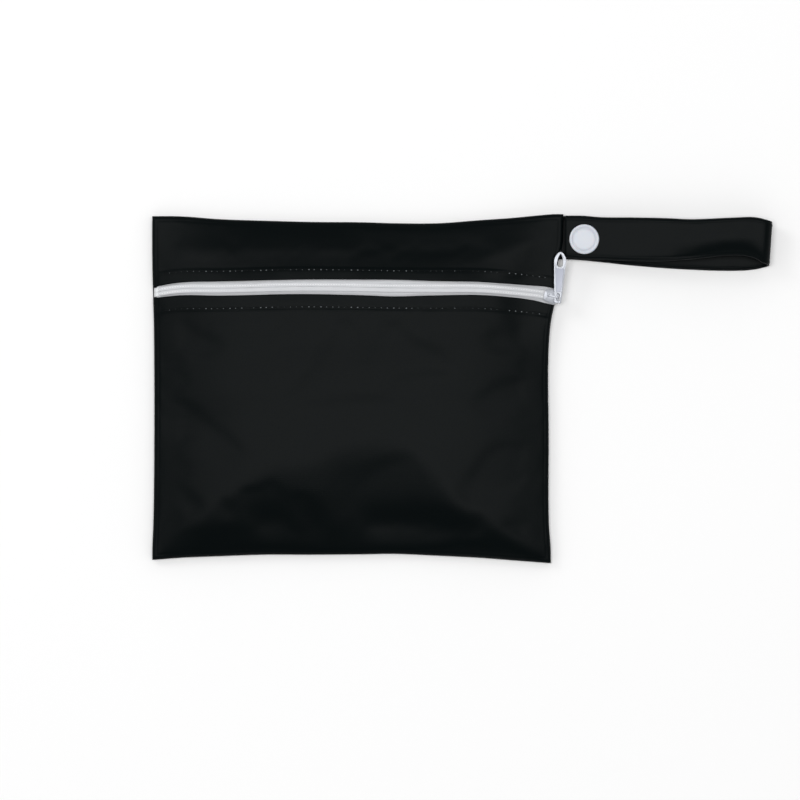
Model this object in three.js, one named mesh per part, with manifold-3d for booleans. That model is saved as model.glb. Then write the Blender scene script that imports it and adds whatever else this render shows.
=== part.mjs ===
// A small zipped wet bag lying on its back: black laminated cloth, a pale coil zip near the top edge, and a
// carrying loop whose free end snaps back on itself beside the side seam.
// Millimetres. +X runs along the zip towards the loop, +Y towards the top edge and +Z up out of the table.
// The origin is on the underside of the flat back panel, in its middle.
import * as THREE from "three";
import { mergeVertices } from "three/addons/utils/BufferGeometryUtils.js";
import Module from "manifold-3d";

const wasm = await Module();
wasm.setup();

// Pouch
const bagWidth = 185;
const bagHeight = 161;
const clothWall = 1;
const fitGap = 0.3;
const pouchHeight = 10; // the front's highest place above the table
const cornerFlare = 4.9; // how far the top corner at the loop stands out
const sideWaist = 0.9; // how far the other side pulls in
const edgeSag = 4.2; // how far the top and bottom edges pull in
const seamLevel = 1.6; // height of the seam all round
const rimRadius = 1.8; // rounding of the turned seam edge
const rimRise = 1.5; // height that the turned seam allowance gives the front
const sideShoulder = 58; // how far in from the sides the front reaches its fullness
const bottomShoulder = 64;
const browRise = 0.5; // of the brow below which the front falls to the bottom seam
const browWidth = 8;
const browFade = 30; // how far in from the sides the brow has its full rise
const topShoulder = 46;

// Zip
const zipBelowTop = 34.3; // from the top edge to the zip's middle
const zipDroop = 4.6; // how far its ends drop below its middle
const zipOpening = 6.6; // between the folded edges of the front panels
const tapeWidth = 10.5; // each tape, from the middle of the zip
const tapeWall = 0.6;
const tapeSplit = 0.4; // between the two tapes
const tapeDrop = 0.5; // how far each tape's free edge hangs under the panel
const coilWidth = 4.2; // both rows of the closed chain
const coilHeight = 1.5;
const coilValley = 0.35; // how deep the chain dips between its two rows
const coilEndInset = 0.7; // from the chain's blind end to the bag's edge

// Zip slider and its puller
const sliderLength = 7;
const sliderWidth = 6.7;
const sliderPlate = 0.8;
const sliderOverhang = 1; // how far the slider stands past the bag's edge
const sliderPost = 1.4; // width of the post that joins its two plates
const postPlace = 0.2; // share of the slider's length from its middle to the post
const bridgeSpan = 4.5; // between the bridge's two legs
const bridgeBar = 0.8;
const bridgeWidth = 0.9;
const bridgeInset = 0.6; // from the leg that the puller hangs on to the slider's end
const pullerLength = 23.8;
const pullerBaseWidth = 3.2;
const pullerWidth = 5.6;
const pullerThickness = 1.1;
const pullerEyeWidth = 1.7;
const pullerEyeLength = 3.6;
const pullerBar = 0.9; // across the end of the eye
const pullerPlay = 0.4; // between the puller and the plate below it
const pullerRim = 0.75; // raised border round the sunk middle
const pullerRecess = 0.25;
const pullerHoleWidth = 2.8;
const pullerHoleLength = 6;
const pullerTipWall = 1.1;
const pullerYaw = -3.5; // degrees from straight up the bag
const pullerTilt = 2.5; // degrees that its tip leans up

// Carrying loop
const strapWidth = 20.2;
const strapReach = 95.7; // from the side seam to the fold
const strapSewnLength = 6.4; // inside the seam
const strapBulge = 5; // over which the seam rises beside the sewn end
const strapBelowTop = 11.1; // from the top edge to its middle
const loopOpening = 6.2; // clear height inside the loop
const strapEndGap = 0.5; // from the free end to the bag's corner
const foldSkew = 0.7; // how far the fold leans out at its upper end
const edgeCurl = 3; // how far the upper layer's near edge curls up
const tableGap = 0.3; // under the loop

// Snap
const snapAcross = 9.3; // from the bag's corner to the snap's middle
const snapDrop = 0.8; // from the strap's middle line to the snap's middle
const capRadius = 6.85;
const capThickness = 1.1;
const capRim = 1.5;
const capDish = 0.3;
const postRadius = 0.9;
const studRadius = 3.9;
const studFlange = 0.5;
const knobRadius = 2.1;
const knobHeight = 1;
const socketRadius = 4.4;
const socketRoof = 0.7;

// The side edges, bottom to top: shares of sideWaist pulled in on the plain side and of cornerFlare on the loop's
const sideRows = [
  { up: -1.0, plain: -0.4, loop: -0.18 },
  { up: -0.92, plain: -0.4, loop: -0.2 },
  { up: -0.78, plain: 0.1, loop: -0.36 },
  { up: -0.3, plain: 0.6, loop: -0.38 },
  { up: 0.25, plain: 0.5, loop: -0.37 },
  { up: 0.4, plain: 0.3, loop: -0.12 },
  { up: 0.47, plain: 0.1, loop: 0.14 },
  { up: 0.53, plain: 0, loop: 0.4 },
  { up: 0.62, plain: -0.25, loop: 0.44 },
  { up: 0.7, plain: -0.4, loop: 0.45 },
  { up: 0.74, plain: -0.45, loop: 0.52 },
  { up: 0.78, plain: -0.5, loop: 0.78 },
  { up: 0.82, plain: -0.5, loop: 0.93 },
  { up: 0.91, plain: -0.5, loop: 0.98 },
  { up: 1.0, plain: -0.4, loop: 1.0 },
];

// The top and bottom edges, side to side: shares of edgeSag pulled in
const endRows = [
  { across: -1.0, top: 0.22, bottom: 0.21 },
  { across: -0.86, top: 0.24, bottom: 0.45 },
  { across: -0.67, top: 0.55, bottom: 0.62 },
  { across: -0.45, top: 0.72, bottom: 0.79 },
  { across: -0.2, top: 0.86, bottom: 0.79 },
  { across: 0.05, top: 0.9, bottom: 0.83 },
  { across: 0.2, top: 1.0, bottom: 0.88 },
  { across: 0.43, top: 1.0, bottom: 0.67 },
  { across: 0.63, top: 0.67, bottom: 0.45 },
  { across: 0.78, top: 0.45, bottom: 0.2 },
  { across: 0.9, top: 0.2, bottom: 0 },
  { across: 1.0, top: 0, bottom: -0.17 },
];

// The zip, side to side: share of zipDroop it has dropped, and share of zipOpening that shows
const zipRows = [
  { across: -1.0, droop: 0.5, opening: 0.73 },
  { across: -0.95, droop: 0.32, opening: 0.8 },
  { across: -0.86, droop: 0.1, opening: 0.87 },
  { across: -0.66, droop: 0.07, opening: 0.98 },
  { across: -0.26, droop: -0.1, opening: 1.0 },
  { across: 0.05, droop: -0.04, opening: 1.09 },
  { across: 0.2, droop: 0.02, opening: 1.16 },
  { across: 0.4, droop: 0.04, opening: 1.0 },
  { across: 0.63, droop: 0.06, opening: 0.91 },
  { across: 0.74, droop: 0.2, opening: 0.9 },
  { across: 0.84, droop: 0.37, opening: 0.93 },
  { across: 0.94, droop: 0.62, opening: 1.05 },
  { across: 1.03, droop: 1.0, opening: 1.12 },
];

// How far up from the bottom edge the brow runs, side to side: shares of bottomShoulder
const browRows = [
  { across: -1.0, fall: 0.16 },
  { across: -0.765, fall: 0.33 },
  { across: -0.44, fall: 0.62 },
  { across: -0.19, fall: 0.69 },
  { across: -0.04, fall: 0.8 },
  { across: 0.11, fall: 0.84 },
  { across: 0.285, fall: 0.76 },
  { across: 0.41, fall: 0.62 },
  { across: 0.535, fall: 0.4 },
  { across: 0.685, fall: 0.29 },
  { across: 0.885, fall: 0.14 },
  { across: 1.0, fall: 0.12 },
];

// Soft folds and dents of the front: ends as shares of half the width and height, half width and height in shares
// of foldWidth and foldHeight
const foldWidth = 10;
const foldHeight = 1;
const foldRows = [
  { name: "left dent", x0: -0.42, y0: -0.76, x1: -0.2, y1: -0.78, width: 0.75, height: -0.7 },
  { name: "right dent", x0: 0.13, y0: -0.78, x1: 0.6, y1: -0.8, width: 0.7, height: -0.8 },
  { name: "right bottom ridge", x0: 0.4, y0: -0.91, x1: 0.62, y1: -0.88, width: 0.4, height: 0.4 },
  { name: "left bottom ridge", x0: -0.6, y0: -0.93, x1: -0.4, y1: -0.92, width: 0.4, height: 0.35 },
  { name: "side crease", x0: -0.9, y0: -0.21, x1: -0.7, y1: -0.22, width: 1.0, height: -0.4 },
  { name: "middle hollow", x0: -0.35, y0: 0.1, x1: 0.3, y1: 0.2, width: 2.4, height: -0.4 },
  { name: "upper ridge", x0: -0.5, y0: 0.86, x1: -0.1, y1: 0.87, width: 0.6, height: 0.25 },
  { name: "upper dent", x0: 0.1, y0: 0.79, x1: 0.6, y1: 0.8, width: 0.9, height: -0.3 },
];

// The loop's layers, from the seam to the fold: middle line as a share of strapWidth above strapRise, width as a
// share of strapWidth, rise and curl as shares of the height gained after the snap and of edgeCurl
const lowerRows = [
  { along: -0.07, middle: 0, width: 1 },
  { along: 0.03, middle: 0, width: 1 },
  { along: 0.18, middle: -0.06, width: 1 },
  { along: 0.34, middle: -0.14, width: 1 },
  { along: 0.61, middle: -0.23, width: 1 },
  { along: 0.88, middle: -0.25, width: 1 },
  { along: 0.97, middle: -0.2, width: 1 },
];
const upperRows = [
  { along: 0, middle: 0.02, width: 0.97, rise: -0.1, curl: 0 },
  { along: 0.097, middle: 0, width: 1, rise: 0, curl: 0 },
  { along: 0.17, middle: -0.02, width: 0.98, rise: 0.03, curl: 0 },
  { along: 0.34, middle: -0.04, width: 1, rise: 0.6, curl: 0.05 },
  { along: 0.48, middle: -0.05, width: 0.99, rise: 0.95, curl: 0.15 },
  { along: 0.61, middle: -0.045, width: 0.93, rise: 1.05, curl: 0.5 },
  { along: 0.82, middle: 0.02, width: 0.88, rise: 1.05, curl: 1 },
  { along: 0.9, middle: 0.01, width: 0.92, rise: 1.02, curl: 0.8 },
  { along: 0.97, middle: -0.08, width: 1, rise: 1, curl: 0.2 },
];

const halfWidth = bagWidth / 2;
const halfHeight = bagHeight / 2;
const zipHeight = halfHeight - zipBelowTop; // above the middle of the bag
const strapRise = halfHeight - strapBelowTop;

// Finishes
const finishes = {
  cloth: { color: "#191c1d", roughness: 0.6, metalness: 0 },
  tape: { color: "#cbccd1", roughness: 0.85, metalness: 0 },
  coil: { color: "#d6d8da", roughness: 0.45, metalness: 0 },
  castMetal: { color: "#d3d6dd", roughness: 0.32, metalness: 0.35 },
  snap: { color: "#d9dce3", roughness: 0.4, metalness: 0 },
};

function limit(value, low, high) {
  return Math.min(Math.max(value, low), high);
}

function blend(from, to, share) {
  return from + (to - from) * share;
}

// 0 to 1 with a level start and end
function smooth(share) {
  const s = limit(share, 0, 1);
  return s * s * (3 - 2 * s);
}

// 0 to 1 with a level end only
function ease(share) {
  const s = limit(share, 0, 1);
  return 1 - (1 - s) * (1 - s);
}

// The quarter round of a turned edge, 0 at the edge and 1 past its radius
function quarterRound(share) {
  const s = 1 - limit(share, 0, 1);
  return Math.sqrt(1 - s * s);
}

// A smooth curve through one column of a table, read along another
function follow(rows, key, column, at) {
  const last = rows.length - 1;
  if (at <= rows[0][key]) return rows[0][column];
  if (at >= rows[last][key]) return rows[last][column];
  const i = rows.findIndex((row, n) => n < last && at <= rows[n + 1][key]);
  const slope = (n) => (rows[n + 1][column] - rows[n][column]) / (rows[n + 1][key] - rows[n][key]);
  const before = i > 0 ? (slope(i - 1) + slope(i)) / 2 : slope(i);
  const after = i < last - 1 ? (slope(i) + slope(i + 1)) / 2 : slope(i);
  const span = rows[i + 1][key] - rows[i][key];
  const t = (at - rows[i][key]) / span;
  const rest = 1 - t;
  return (
    rest * rest * ((1 + 2 * t) * rows[i][column] + t * span * before) +
    t * t * ((1 + 2 * rest) * rows[i + 1][column] - rest * span * after)
  );
}

// Solids

// A manifold solid of a closed three.js geometry
function solidOf(geometry) {
  const bare = geometry.clone();
  bare.deleteAttribute("normal");
  bare.deleteAttribute("uv");
  const merged = mergeVertices(bare, 1e-4);
  return new wasm.Manifold(
    new wasm.Mesh({
      numProp: 3,
      vertProperties: merged.attributes.position.array,
      triVerts: new Uint32Array(merged.index.array),
    }),
  );
}

// A three.js geometry of a manifold solid
function geometryOf(solid) {
  const mesh = solid.getMesh();
  const geometry = new THREE.BufferGeometry();
  geometry.setAttribute("position", new THREE.BufferAttribute(mesh.vertProperties, 3));
  geometry.setIndex(new THREE.BufferAttribute(mesh.triVerts, 1));
  geometry.computeVertexNormals();
  return geometry;
}

function join(...geometries) {
  return geometryOf(geometries.map(solidOf).reduce((a, b) => a.add(b)));
}

function cut(geometry, ...tools) {
  return geometryOf(tools.map(solidOf).reduce((a, b) => a.subtract(b), solidOf(geometry)));
}

function prism(shape, low, high, curveSegments = 8) {
  const geometry = new THREE.ExtrudeGeometry(shape, { depth: high - low, bevelEnabled: false, curveSegments });
  return geometry.translate(0, 0, low);
}

// A solid of revolution about Z from its profile of [radius, height] points
function turned(points, segments = 24) {
  const profile = points.map(([radius, height]) => new THREE.Vector2(radius, height));
  return new THREE.LatheGeometry(profile, segments).rotateX(Math.PI / 2);
}

// A closed sheet between two grids of points, over and under, of the same size
function sheet(columns, rows, over, under) {
  const positions = [];
  const faces = [];
  for (const side of [over, under]) {
    for (const column of columns) {
      for (const row of rows) positions.push(...side(column, row));
    }
  }
  const across = rows.length;
  const layer = columns.length * across;
  const quad = (a, b, c, d) => faces.push(a, b, c, a, c, d);
  for (let i = 0; i + 1 < columns.length; i++) {
    for (let j = 0; j + 1 < across; j++) {
      const a = i * across + j;
      const b = a + across;
      quad(a, b, b + 1, a + 1);
      quad(layer + a, layer + a + 1, layer + b + 1, layer + b);
    }
    const near = i * across;
    const far = near + across - 1;
    quad(near, layer + near, layer + near + across, near + across);
    quad(far, far + across, layer + far + across, layer + far);
  }
  for (let j = 0; j + 1 < across; j++) {
    const end = layer - across + j;
    quad(j, j + 1, layer + j + 1, layer + j);
    quad(end, layer + end, layer + end + 1, end + 1);
  }
  const geometry = new THREE.BufferGeometry();
  geometry.setAttribute("position", new THREE.Float32BufferAttribute(positions, 3));
  geometry.setIndex(faces);
  geometry.computeVertexNormals();
  return geometry;
}

// Shares from 0 to 1 along a length: close together at the turned edges named, then about one step apart
const rimSteps = [0.1, 0.4, 1, 2.2];
function stations(length, step, turnedStart, turnedEnd) {
  const rim = rimSteps.map((share) => (share * rimRadius) / length);
  const start = turnedStart ? [0, ...rim] : [0];
  const end = turnedEnd ? [1, ...rim.map((share) => 1 - share)].reverse() : [1];
  const low = start.at(-1);
  const high = end[0];
  const count = Math.max(1, Math.round(((high - low) * length) / step));
  const between = [];
  for (let i = 1; i < count; i++) between.push(blend(low, high, i / count));
  return [...start, ...between, ...end];
}

// Outline of the bag from above

const plainEdge = (y) => -halfWidth + sideWaist * follow(sideRows, "up", "plain", y / halfHeight);
const loopEdge = (y) => halfWidth + cornerFlare * follow(sideRows, "up", "loop", y / halfHeight);
const topEdge = (x) => halfHeight - edgeSag * follow(endRows, "across", "top", x / halfWidth);
const bottomEdge = (x) => -halfHeight + edgeSag * follow(endRows, "across", "bottom", x / halfWidth);
const zipLine = (x) => zipHeight - zipDroop * follow(zipRows, "across", "droop", x / halfWidth);

const sliderX = loopEdge(zipHeight - zipDroop) + sliderOverhang - sliderLength / 2;
const sliderY = zipLine(sliderX);
const yawReach = sliderLength / 7;
const sliderYaw = Math.atan2(zipLine(sliderX + yawReach) - zipLine(sliderX - yawReach), 2 * yawReach);

// The front panels stand further apart beside the slider
function zipHalfOpening(x) {
  const plain = (zipOpening / 2) * follow(zipRows, "across", "opening", x / halfWidth);
  const beside = smooth((x - sliderX + sliderLength) / (sliderLength / 2));
  return blend(plain, sliderWidth / 2 + 1.5 * fitGap, beside);
}

const zipUpperEdge = (x) => zipLine(x) + zipHalfOpening(x);
const zipLowerEdge = (x) => zipLine(x) - zipHalfOpening(x);

// A point of a panel between two of the bag's cross lines, drawn in from the outline by an inset
function panelPoint(across, up, low, high, inset) {
  let x = blend(-halfWidth, halfWidth, across);
  let y = 0;
  for (let pass = 0; pass < 4; pass++) {
    y = blend(low(x), high(x), up);
    x = blend(plainEdge(y) + inset, loopEdge(y) - inset, across);
  }
  return [x, blend(low(x), high(x), up)];
}

// Heights

const lowerSeam = seamLevel - fitGap / 2;
const strapSeamLow = lowerSeam + fitGap;
const sliderLow = lowerSeam + fitGap;
const sliderTapeLow = sliderLow + sliderPlate + fitGap;
const sliderFrontLevel = sliderTapeLow + tapeWall + fitGap + clothWall;
const coilOver = coilHeight - clothWall; // how far the chain stands above the panels' faces
const domeRise = pouchHeight - (seamLevel + fitGap / 2 + rimRise);

function edgeDistance(x, y) {
  return Math.min(x - plainEdge(y), loopEdge(y) - x, y - bottomEdge(x), topEdge(x) - y);
}

// The front's seam lies higher where the strap is sewn in
function upperSeam(x, y) {
  const beside = strapWidth / 2 + 2 * strapBulge - Math.abs(y - strapRise);
  const inward = x - (halfWidth - 6 * strapSewnLength);
  const lift = smooth(beside / strapBulge) * smooth(inward / (5 * strapSewnLength));
  return seamLevel + fitGap / 2 + (clothWall + fitGap) * lift;
}

function bump(distance) {
  return Math.exp(-distance * distance);
}

function foldsAt(x, y) {
  return foldRows.reduce((sum, fold) => {
    const start = new THREE.Vector2(fold.x0 * halfWidth, fold.y0 * halfHeight);
    const run = new THREE.Vector2(fold.x1 * halfWidth, fold.y1 * halfHeight).sub(start);
    const offset = new THREE.Vector2(x, y).sub(start);
    const along = limit(offset.dot(run) / run.lengthSq(), 0, 1);
    const distance = offset.addScaledVector(run, -along).length() / (fold.width * foldWidth);
    return sum + fold.height * foldHeight * bump(distance);
  }, 0);
}

// The front's face without the rounding at its seams
function frontFace(x, y) {
  const sides = Math.min(x - plainEdge(y), loopEdge(y) - x);
  const above = y - bottomEdge(x);
  const fall = bottomShoulder * follow(browRows, "across", "fall", x / halfWidth);
  const fullness = ease(sides / sideShoulder) * ease(above / fall) * ease((topEdge(x) - y) / topShoulder);
  const brow = browRise * bump((above - fall) / browWidth) * smooth(sides / browFade);
  const inside = smooth(edgeDistance(x, y) / foldWidth);
  const plain = upperSeam(x, y) + rimRise + domeRise * fullness + (foldsAt(x, y) + brow) * inside;
  const reach = Math.hypot(x - sliderX, (y - sliderY) * 0.8) - sliderLength * 0.8;
  return blend(sliderFrontLevel, plain, smooth(reach / (3 * sliderLength)));
}

// The front at a depth below its face, down to the seam
function frontLevel(x, y, depth) {
  const seam = upperSeam(x, y);
  const turn = quarterRound((edgeDistance(x, y) - depth) / (rimRadius - depth));
  return seam + turn * (frontFace(x, y) - depth - seam);
}

// The back at a height above its underside, up to the seam
function backLevel(x, y, height) {
  const turn = quarterRound((edgeDistance(x, y) - height) / (rimRadius - height));
  return blend(lowerSeam, height, turn);
}

const group = new THREE.Group();

function addPiece(name, geometry, finish, parent = group) {
  const mesh = new THREE.Mesh(geometry, new THREE.MeshStandardMaterial(finishes[finish]));
  mesh.name = name;
  parent.add(mesh);
  return mesh;
}

// Cloth panels

const panelStep = 8;
const acrossStations = stations(bagWidth, panelStep, true, true);

function frontPanel(low, high, turnedLow, turnedHigh) {
  const length = high(0) - low(0);
  const upStations = stations(length, panelStep, turnedLow, turnedHigh);
  const point = (across, up, depth) => {
    const bottom = (x) => low(x) + (turnedLow ? depth : 0);
    const top = (x) => high(x) - (turnedHigh ? depth : 0);
    const [x, y] = panelPoint(across, up, bottom, top, depth);
    return [x, y, frontLevel(x, y, depth)];
  };
  return sheet(
    acrossStations,
    upStations,
    (across, up) => point(across, up, 0),
    (across, up) => point(across, up, clothWall),
  );
}

function backPanel() {
  const step = 1.8 * panelStep;
  const point = (across, up, height) => {
    const bottom = (x) => bottomEdge(x) + height;
    const top = (x) => topEdge(x) - height;
    const [x, y] = panelPoint(across, up, bottom, top, height);
    return [x, y, backLevel(x, y, height)];
  };
  return sheet(
    stations(bagWidth, step, true, true),
    stations(bagHeight, step, true, true),
    (across, up) => point(across, up, clothWall),
    (across, up) => point(across, up, 0),
  );
}

addPiece("back_panel", backPanel(), "cloth");
addPiece("front_lower_panel", frontPanel(bottomEdge, zipLowerEdge, true, false), "cloth");
addPiece("front_upper_panel", frontPanel(zipUpperEdge, topEdge, false, true), "cloth");

// Zip tapes and chain

const tapeInset = rimRadius + 2 * fitGap;
const postStart = sliderX + sliderLength * postPlace;
const tapeStations = [...stations(bagWidth, panelStep, false, false).slice(0, -1), 0.97, 1];

// One tape, on the side of the zip that its sign gives; its inner edge goes round the slider's post
function zipTape(side) {
  const point = (along, across, lift) => {
    let x = blend(-halfWidth, halfWidth, along);
    let y = zipHeight;
    for (let pass = 0; pass < 4; pass++) {
      const round = smooth((x - postStart) / sliderPost + 2);
      const inner = blend(tapeSplit / 2, sliderPost / 2 + fitGap, round);
      y = zipLine(x) + side * blend(inner, tapeWidth, across);
      x = blend(plainEdge(y) + tapeInset, loopEdge(y) - tapeInset, along);
    }
    const drop = tapeDrop * smooth((across * tapeWidth - sliderWidth / 2) / (tapeWidth / 3));
    return [x, y, frontFace(x, y) - clothWall - fitGap - tapeWall - drop + lift];
  };
  const rows = side > 0 ? [0, 0.35, 0.65, 1] : [1, 0.65, 0.35, 0];
  return sheet(
    tapeStations,
    rows,
    (along, across) => point(along, across, tapeWall),
    (along, across) => point(along, across, 0),
  );
}

// The closed chain: two rows side by side, from its blind end to the slider's post
function zipChain() {
  const start = plainEdge(zipHeight) + coilEndInset;
  const end = postStart - fitGap;
  const section = [
    { across: -1, top: 0.45 },
    { across: -0.86, top: 0.85 },
    { across: -0.5, top: 1 },
    { across: -0.14, top: 0.9 },
    { across: 0, top: 0 },
    { across: 0.14, top: 0.9 },
    { across: 0.5, top: 1 },
    { across: 0.86, top: 0.85 },
    { across: 1, top: 0.45 },
  ];
  const point = (x, row, over) => {
    const middle = zipLine(x);
    const base = frontFace(x, middle) - clothWall;
    const top = row.across === 0 ? coilHeight - coilValley : coilHeight * row.top;
    return [x, middle + (row.across * coilWidth) / 2, base + (over ? top : 0)];
  };
  const tapeFrom = plainEdge(zipHeight) + tapeInset;
  const tapeTo = loopEdge(sliderY) - tapeInset;
  const shared = tapeStations.map((share) => blend(tapeFrom, tapeTo, share));
  const places = shared.filter((x) => x > start + yawReach && x < sliderX - sliderLength * 0.7);
  return sheet(
    [start, ...places, sliderX - sliderLength / 2, sliderX - yawReach, end],
    section,
    (x, row) => point(x, row, true),
    (x, row) => point(x, row, false),
  );
}

addPiece("zip_tape_upper", zipTape(1), "tape");
addPiece("zip_tape_lower", zipTape(-1), "tape");
addPiece("zip_chain", zipChain(), "coil");

// Zip slider: two plates joined by a post, flanges beside the chain, and the bridge that holds the puller

const plateLow = sliderFrontLevel + coilOver + fitGap;
const plateHigh = plateLow + sliderPlate;
const archLow = plateHigh + pullerPlay + pullerThickness + pullerPlay;
const archHigh = archLow + bridgeBar;
const legX = sliderLength / 2 - bridgeInset;

// A plate seen from above: round at the closed end, wider at the post
function plateShape() {
  const half = sliderLength / 2;
  const wide = sliderWidth / 2;
  const narrow = wide * 0.78;
  const shape = new THREE.Shape();
  shape.moveTo(-half, -narrow * 0.6);
  shape.quadraticCurveTo(-half, -narrow, -half * 0.6, -narrow);
  shape.lineTo(0, -wide);
  shape.quadraticCurveTo(half, -wide, half, -wide * 0.35);
  shape.lineTo(half, wide * 0.35);
  shape.quadraticCurveTo(half, wide, 0, wide);
  shape.lineTo(-half * 0.6, narrow);
  shape.quadraticCurveTo(-half, narrow, -half, narrow * 0.6);
  shape.closePath();
  return shape;
}

function boxBetween(low, high) {
  const size = low.map((value, i) => high[i] - value);
  const middle = low.map((value, i) => (high[i] + value) / 2);
  return new THREE.BoxGeometry(...size).translate(...middle);
}

// The bridge seen from the side, an arch on two legs
function bridge() {
  const outer = new THREE.Shape();
  const left = legX - bridgeSpan - bridgeBar / 2;
  const right = legX + bridgeBar / 2;
  const low = plateHigh - sliderPlate / 2;
  outer.moveTo(left, low);
  outer.lineTo(left, archHigh - bridgeBar);
  outer.quadraticCurveTo(left, archHigh, left + bridgeBar * 1.5, archHigh);
  outer.lineTo(right - bridgeBar * 1.5, archHigh);
  outer.quadraticCurveTo(right, archHigh, right, archHigh - bridgeBar);
  outer.lineTo(right, low);
  outer.lineTo(right - bridgeBar, low);
  outer.lineTo(right - bridgeBar, archLow);
  outer.lineTo(left + bridgeBar, archLow);
  outer.lineTo(left + bridgeBar, low);
  outer.closePath();
  return prism(outer, -bridgeWidth / 2, bridgeWidth / 2, 4).rotateX(Math.PI / 2);
}

function sliderBody() {
  const postFrom = sliderLength * postPlace;
  const postTo = sliderLength * 0.46;
  const flangeFrom = -sliderLength * 0.3;
  const flangeTo = sliderLength * 0.14;
  const inner = coilWidth / 2 + fitGap;
  const outer = (sliderWidth / 2) * 0.88;
  const flangeLow = sliderFrontLevel - clothWall;
  const pieces = [
    prism(plateShape(), sliderLow, sliderLow + sliderPlate),
    prism(plateShape(), plateLow, plateHigh),
    boxBetween([postFrom, -sliderPost / 2, sliderLow + sliderPlate / 2], [postTo, sliderPost / 2, plateHigh - 0.1]),
    boxBetween([flangeFrom, inner, flangeLow], [flangeTo, outer, plateHigh - 0.1]),
    boxBetween([flangeFrom, -outer, flangeLow], [flangeTo, -inner, plateHigh - 0.1]),
    bridge(),
  ];
  return join(...pieces);
}

const slider = new THREE.Group();
slider.position.set(sliderX, sliderY, 0);
slider.rotation.z = sliderYaw;
group.add(slider);
addPiece("zip_slider", sliderBody(), "castMetal", slider);

// Puller: a tapered tab with a pointed end, its eye round the bridge's leg at the origin

const pullerEnd = -(pullerEyeLength / 2 + pullerBar);
const pullerTip = pullerEnd + pullerLength;
const pullerShoulder = pullerTip - pullerWidth * 0.78;

// The tab's outline, drawn in by an inset
function pullerOutline(inset, from, to) {
  const halfAt = (y) => {
    const share = (y - pullerEnd) / (pullerShoulder - pullerEnd);
    return blend(pullerBaseWidth, pullerWidth, share) / 2 - inset;
  };
  const corner = Math.min(0.6, halfAt(from) * 0.6);
  const shoulder = Math.min(pullerShoulder, to);
  const shape = new THREE.Shape();
  shape.moveTo(-halfAt(from) + corner, from);
  shape.lineTo(halfAt(from) - corner, from);
  shape.quadraticCurveTo(halfAt(from), from, halfAt(from), from + corner);
  shape.lineTo(halfAt(shoulder), shoulder);
  if (to > pullerShoulder) {
    shape.bezierCurveTo(halfAt(shoulder), blend(shoulder, to, 0.5), 1, to, 0, to);
    shape.bezierCurveTo(-1, to, -halfAt(shoulder), blend(shoulder, to, 0.5), -halfAt(shoulder), shoulder);
  } else {
    shape.lineTo(-halfAt(shoulder), shoulder);
  }
  shape.lineTo(-halfAt(from), from + corner);
  shape.quadraticCurveTo(-halfAt(from), from, -halfAt(from) + corner, from);
  return shape;
}

// The drop-shaped hole near the tip
function tipHole() {
  const high = pullerTip - pullerTipWall;
  const low = high - pullerHoleLength;
  const half = pullerHoleWidth / 2;
  const waist = low + half;
  const shape = new THREE.Shape();
  shape.moveTo(half, waist);
  shape.bezierCurveTo(half, blend(waist, high, 0.55), 0.4, high, 0, high);
  shape.bezierCurveTo(-0.4, high, -half, blend(waist, high, 0.55), -half, waist);
  shape.absarc(0, waist, half, Math.PI, 2 * Math.PI, false);
  return shape;
}

function eyeHole() {
  const half = pullerEyeWidth / 2;
  const reach = pullerEyeLength / 2 - half;
  const shape = new THREE.Shape();
  shape.moveTo(half, -reach);
  shape.lineTo(half, reach);
  shape.absarc(0, reach, half, 0, Math.PI, false);
  shape.lineTo(-half, -reach);
  shape.absarc(0, -reach, half, Math.PI, 2 * Math.PI, false);
  return shape;
}

function pullerTab() {
  const half = pullerThickness / 2;
  const past = pullerThickness;
  const recessFrom = pullerEyeLength / 2 + pullerBar;
  const recessTo = pullerTip - pullerTipWall - pullerHoleLength - pullerRim;
  const recess = pullerOutline(pullerRim, recessFrom, recessTo);
  return cut(
    prism(pullerOutline(0, pullerEnd, pullerTip), -half, half),
    prism(recess, half - pullerRecess, past),
    prism(recess, -past, pullerRecess - half),
    prism(tipHole(), -past, past),
    prism(eyeHole(), -past, past),
  );
}

const puller = new THREE.Group();
puller.position.set(
  sliderX + legX * Math.cos(sliderYaw),
  sliderY + legX * Math.sin(sliderYaw),
  plateHigh + pullerPlay + pullerThickness / 2,
);
puller.rotation.set(0, 0, THREE.MathUtils.degToRad(pullerYaw));
group.add(puller);
const pullerMesh = addPiece("zip_puller", pullerTab(), "castMetal", puller);
pullerMesh.rotation.x = THREE.MathUtils.degToRad(pullerTilt);

// Carrying loop

const strapStart = loopEdge(strapRise);
const cornerX = loopEdge(halfHeight);
const snapX = cornerX + snapAcross;
const snapY = strapRise - snapDrop;

// Levels of the snap's stack, from the table up: lower cap, cloth, stud, socket, cloth, upper cap
const lowerCapLow = tableGap;
const lowerClothLow = lowerCapLow + capThickness + fitGap;
const studLow = lowerClothLow + clothWall + fitGap;
const knobHigh = studLow + studFlange + knobHeight;
const socketLow = studLow + studFlange + fitGap;
const socketHigh = knobHigh + fitGap + socketRoof;
const upperClothLow = socketHigh + fitGap;
const upperCapLow = upperClothLow + clothWall + fitGap;

const seamMiddle = strapSeamLow + clothWall / 2;
const restMiddle = tableGap + clothWall / 2;
const snapUpperMiddle = upperClothLow + clothWall / 2;
const loopTop = restMiddle + clothWall + loopOpening;
const foldRadius = (loopTop - restMiddle) / 2;
const foldX = cornerX + strapReach - foldRadius - clothWall / 2;

function strapAlong(x) {
  return (x - cornerX) / strapReach;
}

function lowerLayerLevel(x) {
  const atSnap = lowerClothLow + clothWall / 2;
  const toSnap = blend(seamMiddle, atSnap, smooth((x - cornerX) / (snapAcross - socketRadius)));
  return blend(toSnap, restMiddle, smooth((x - snapX - capRadius) / (2 * capRadius)));
}

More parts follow.
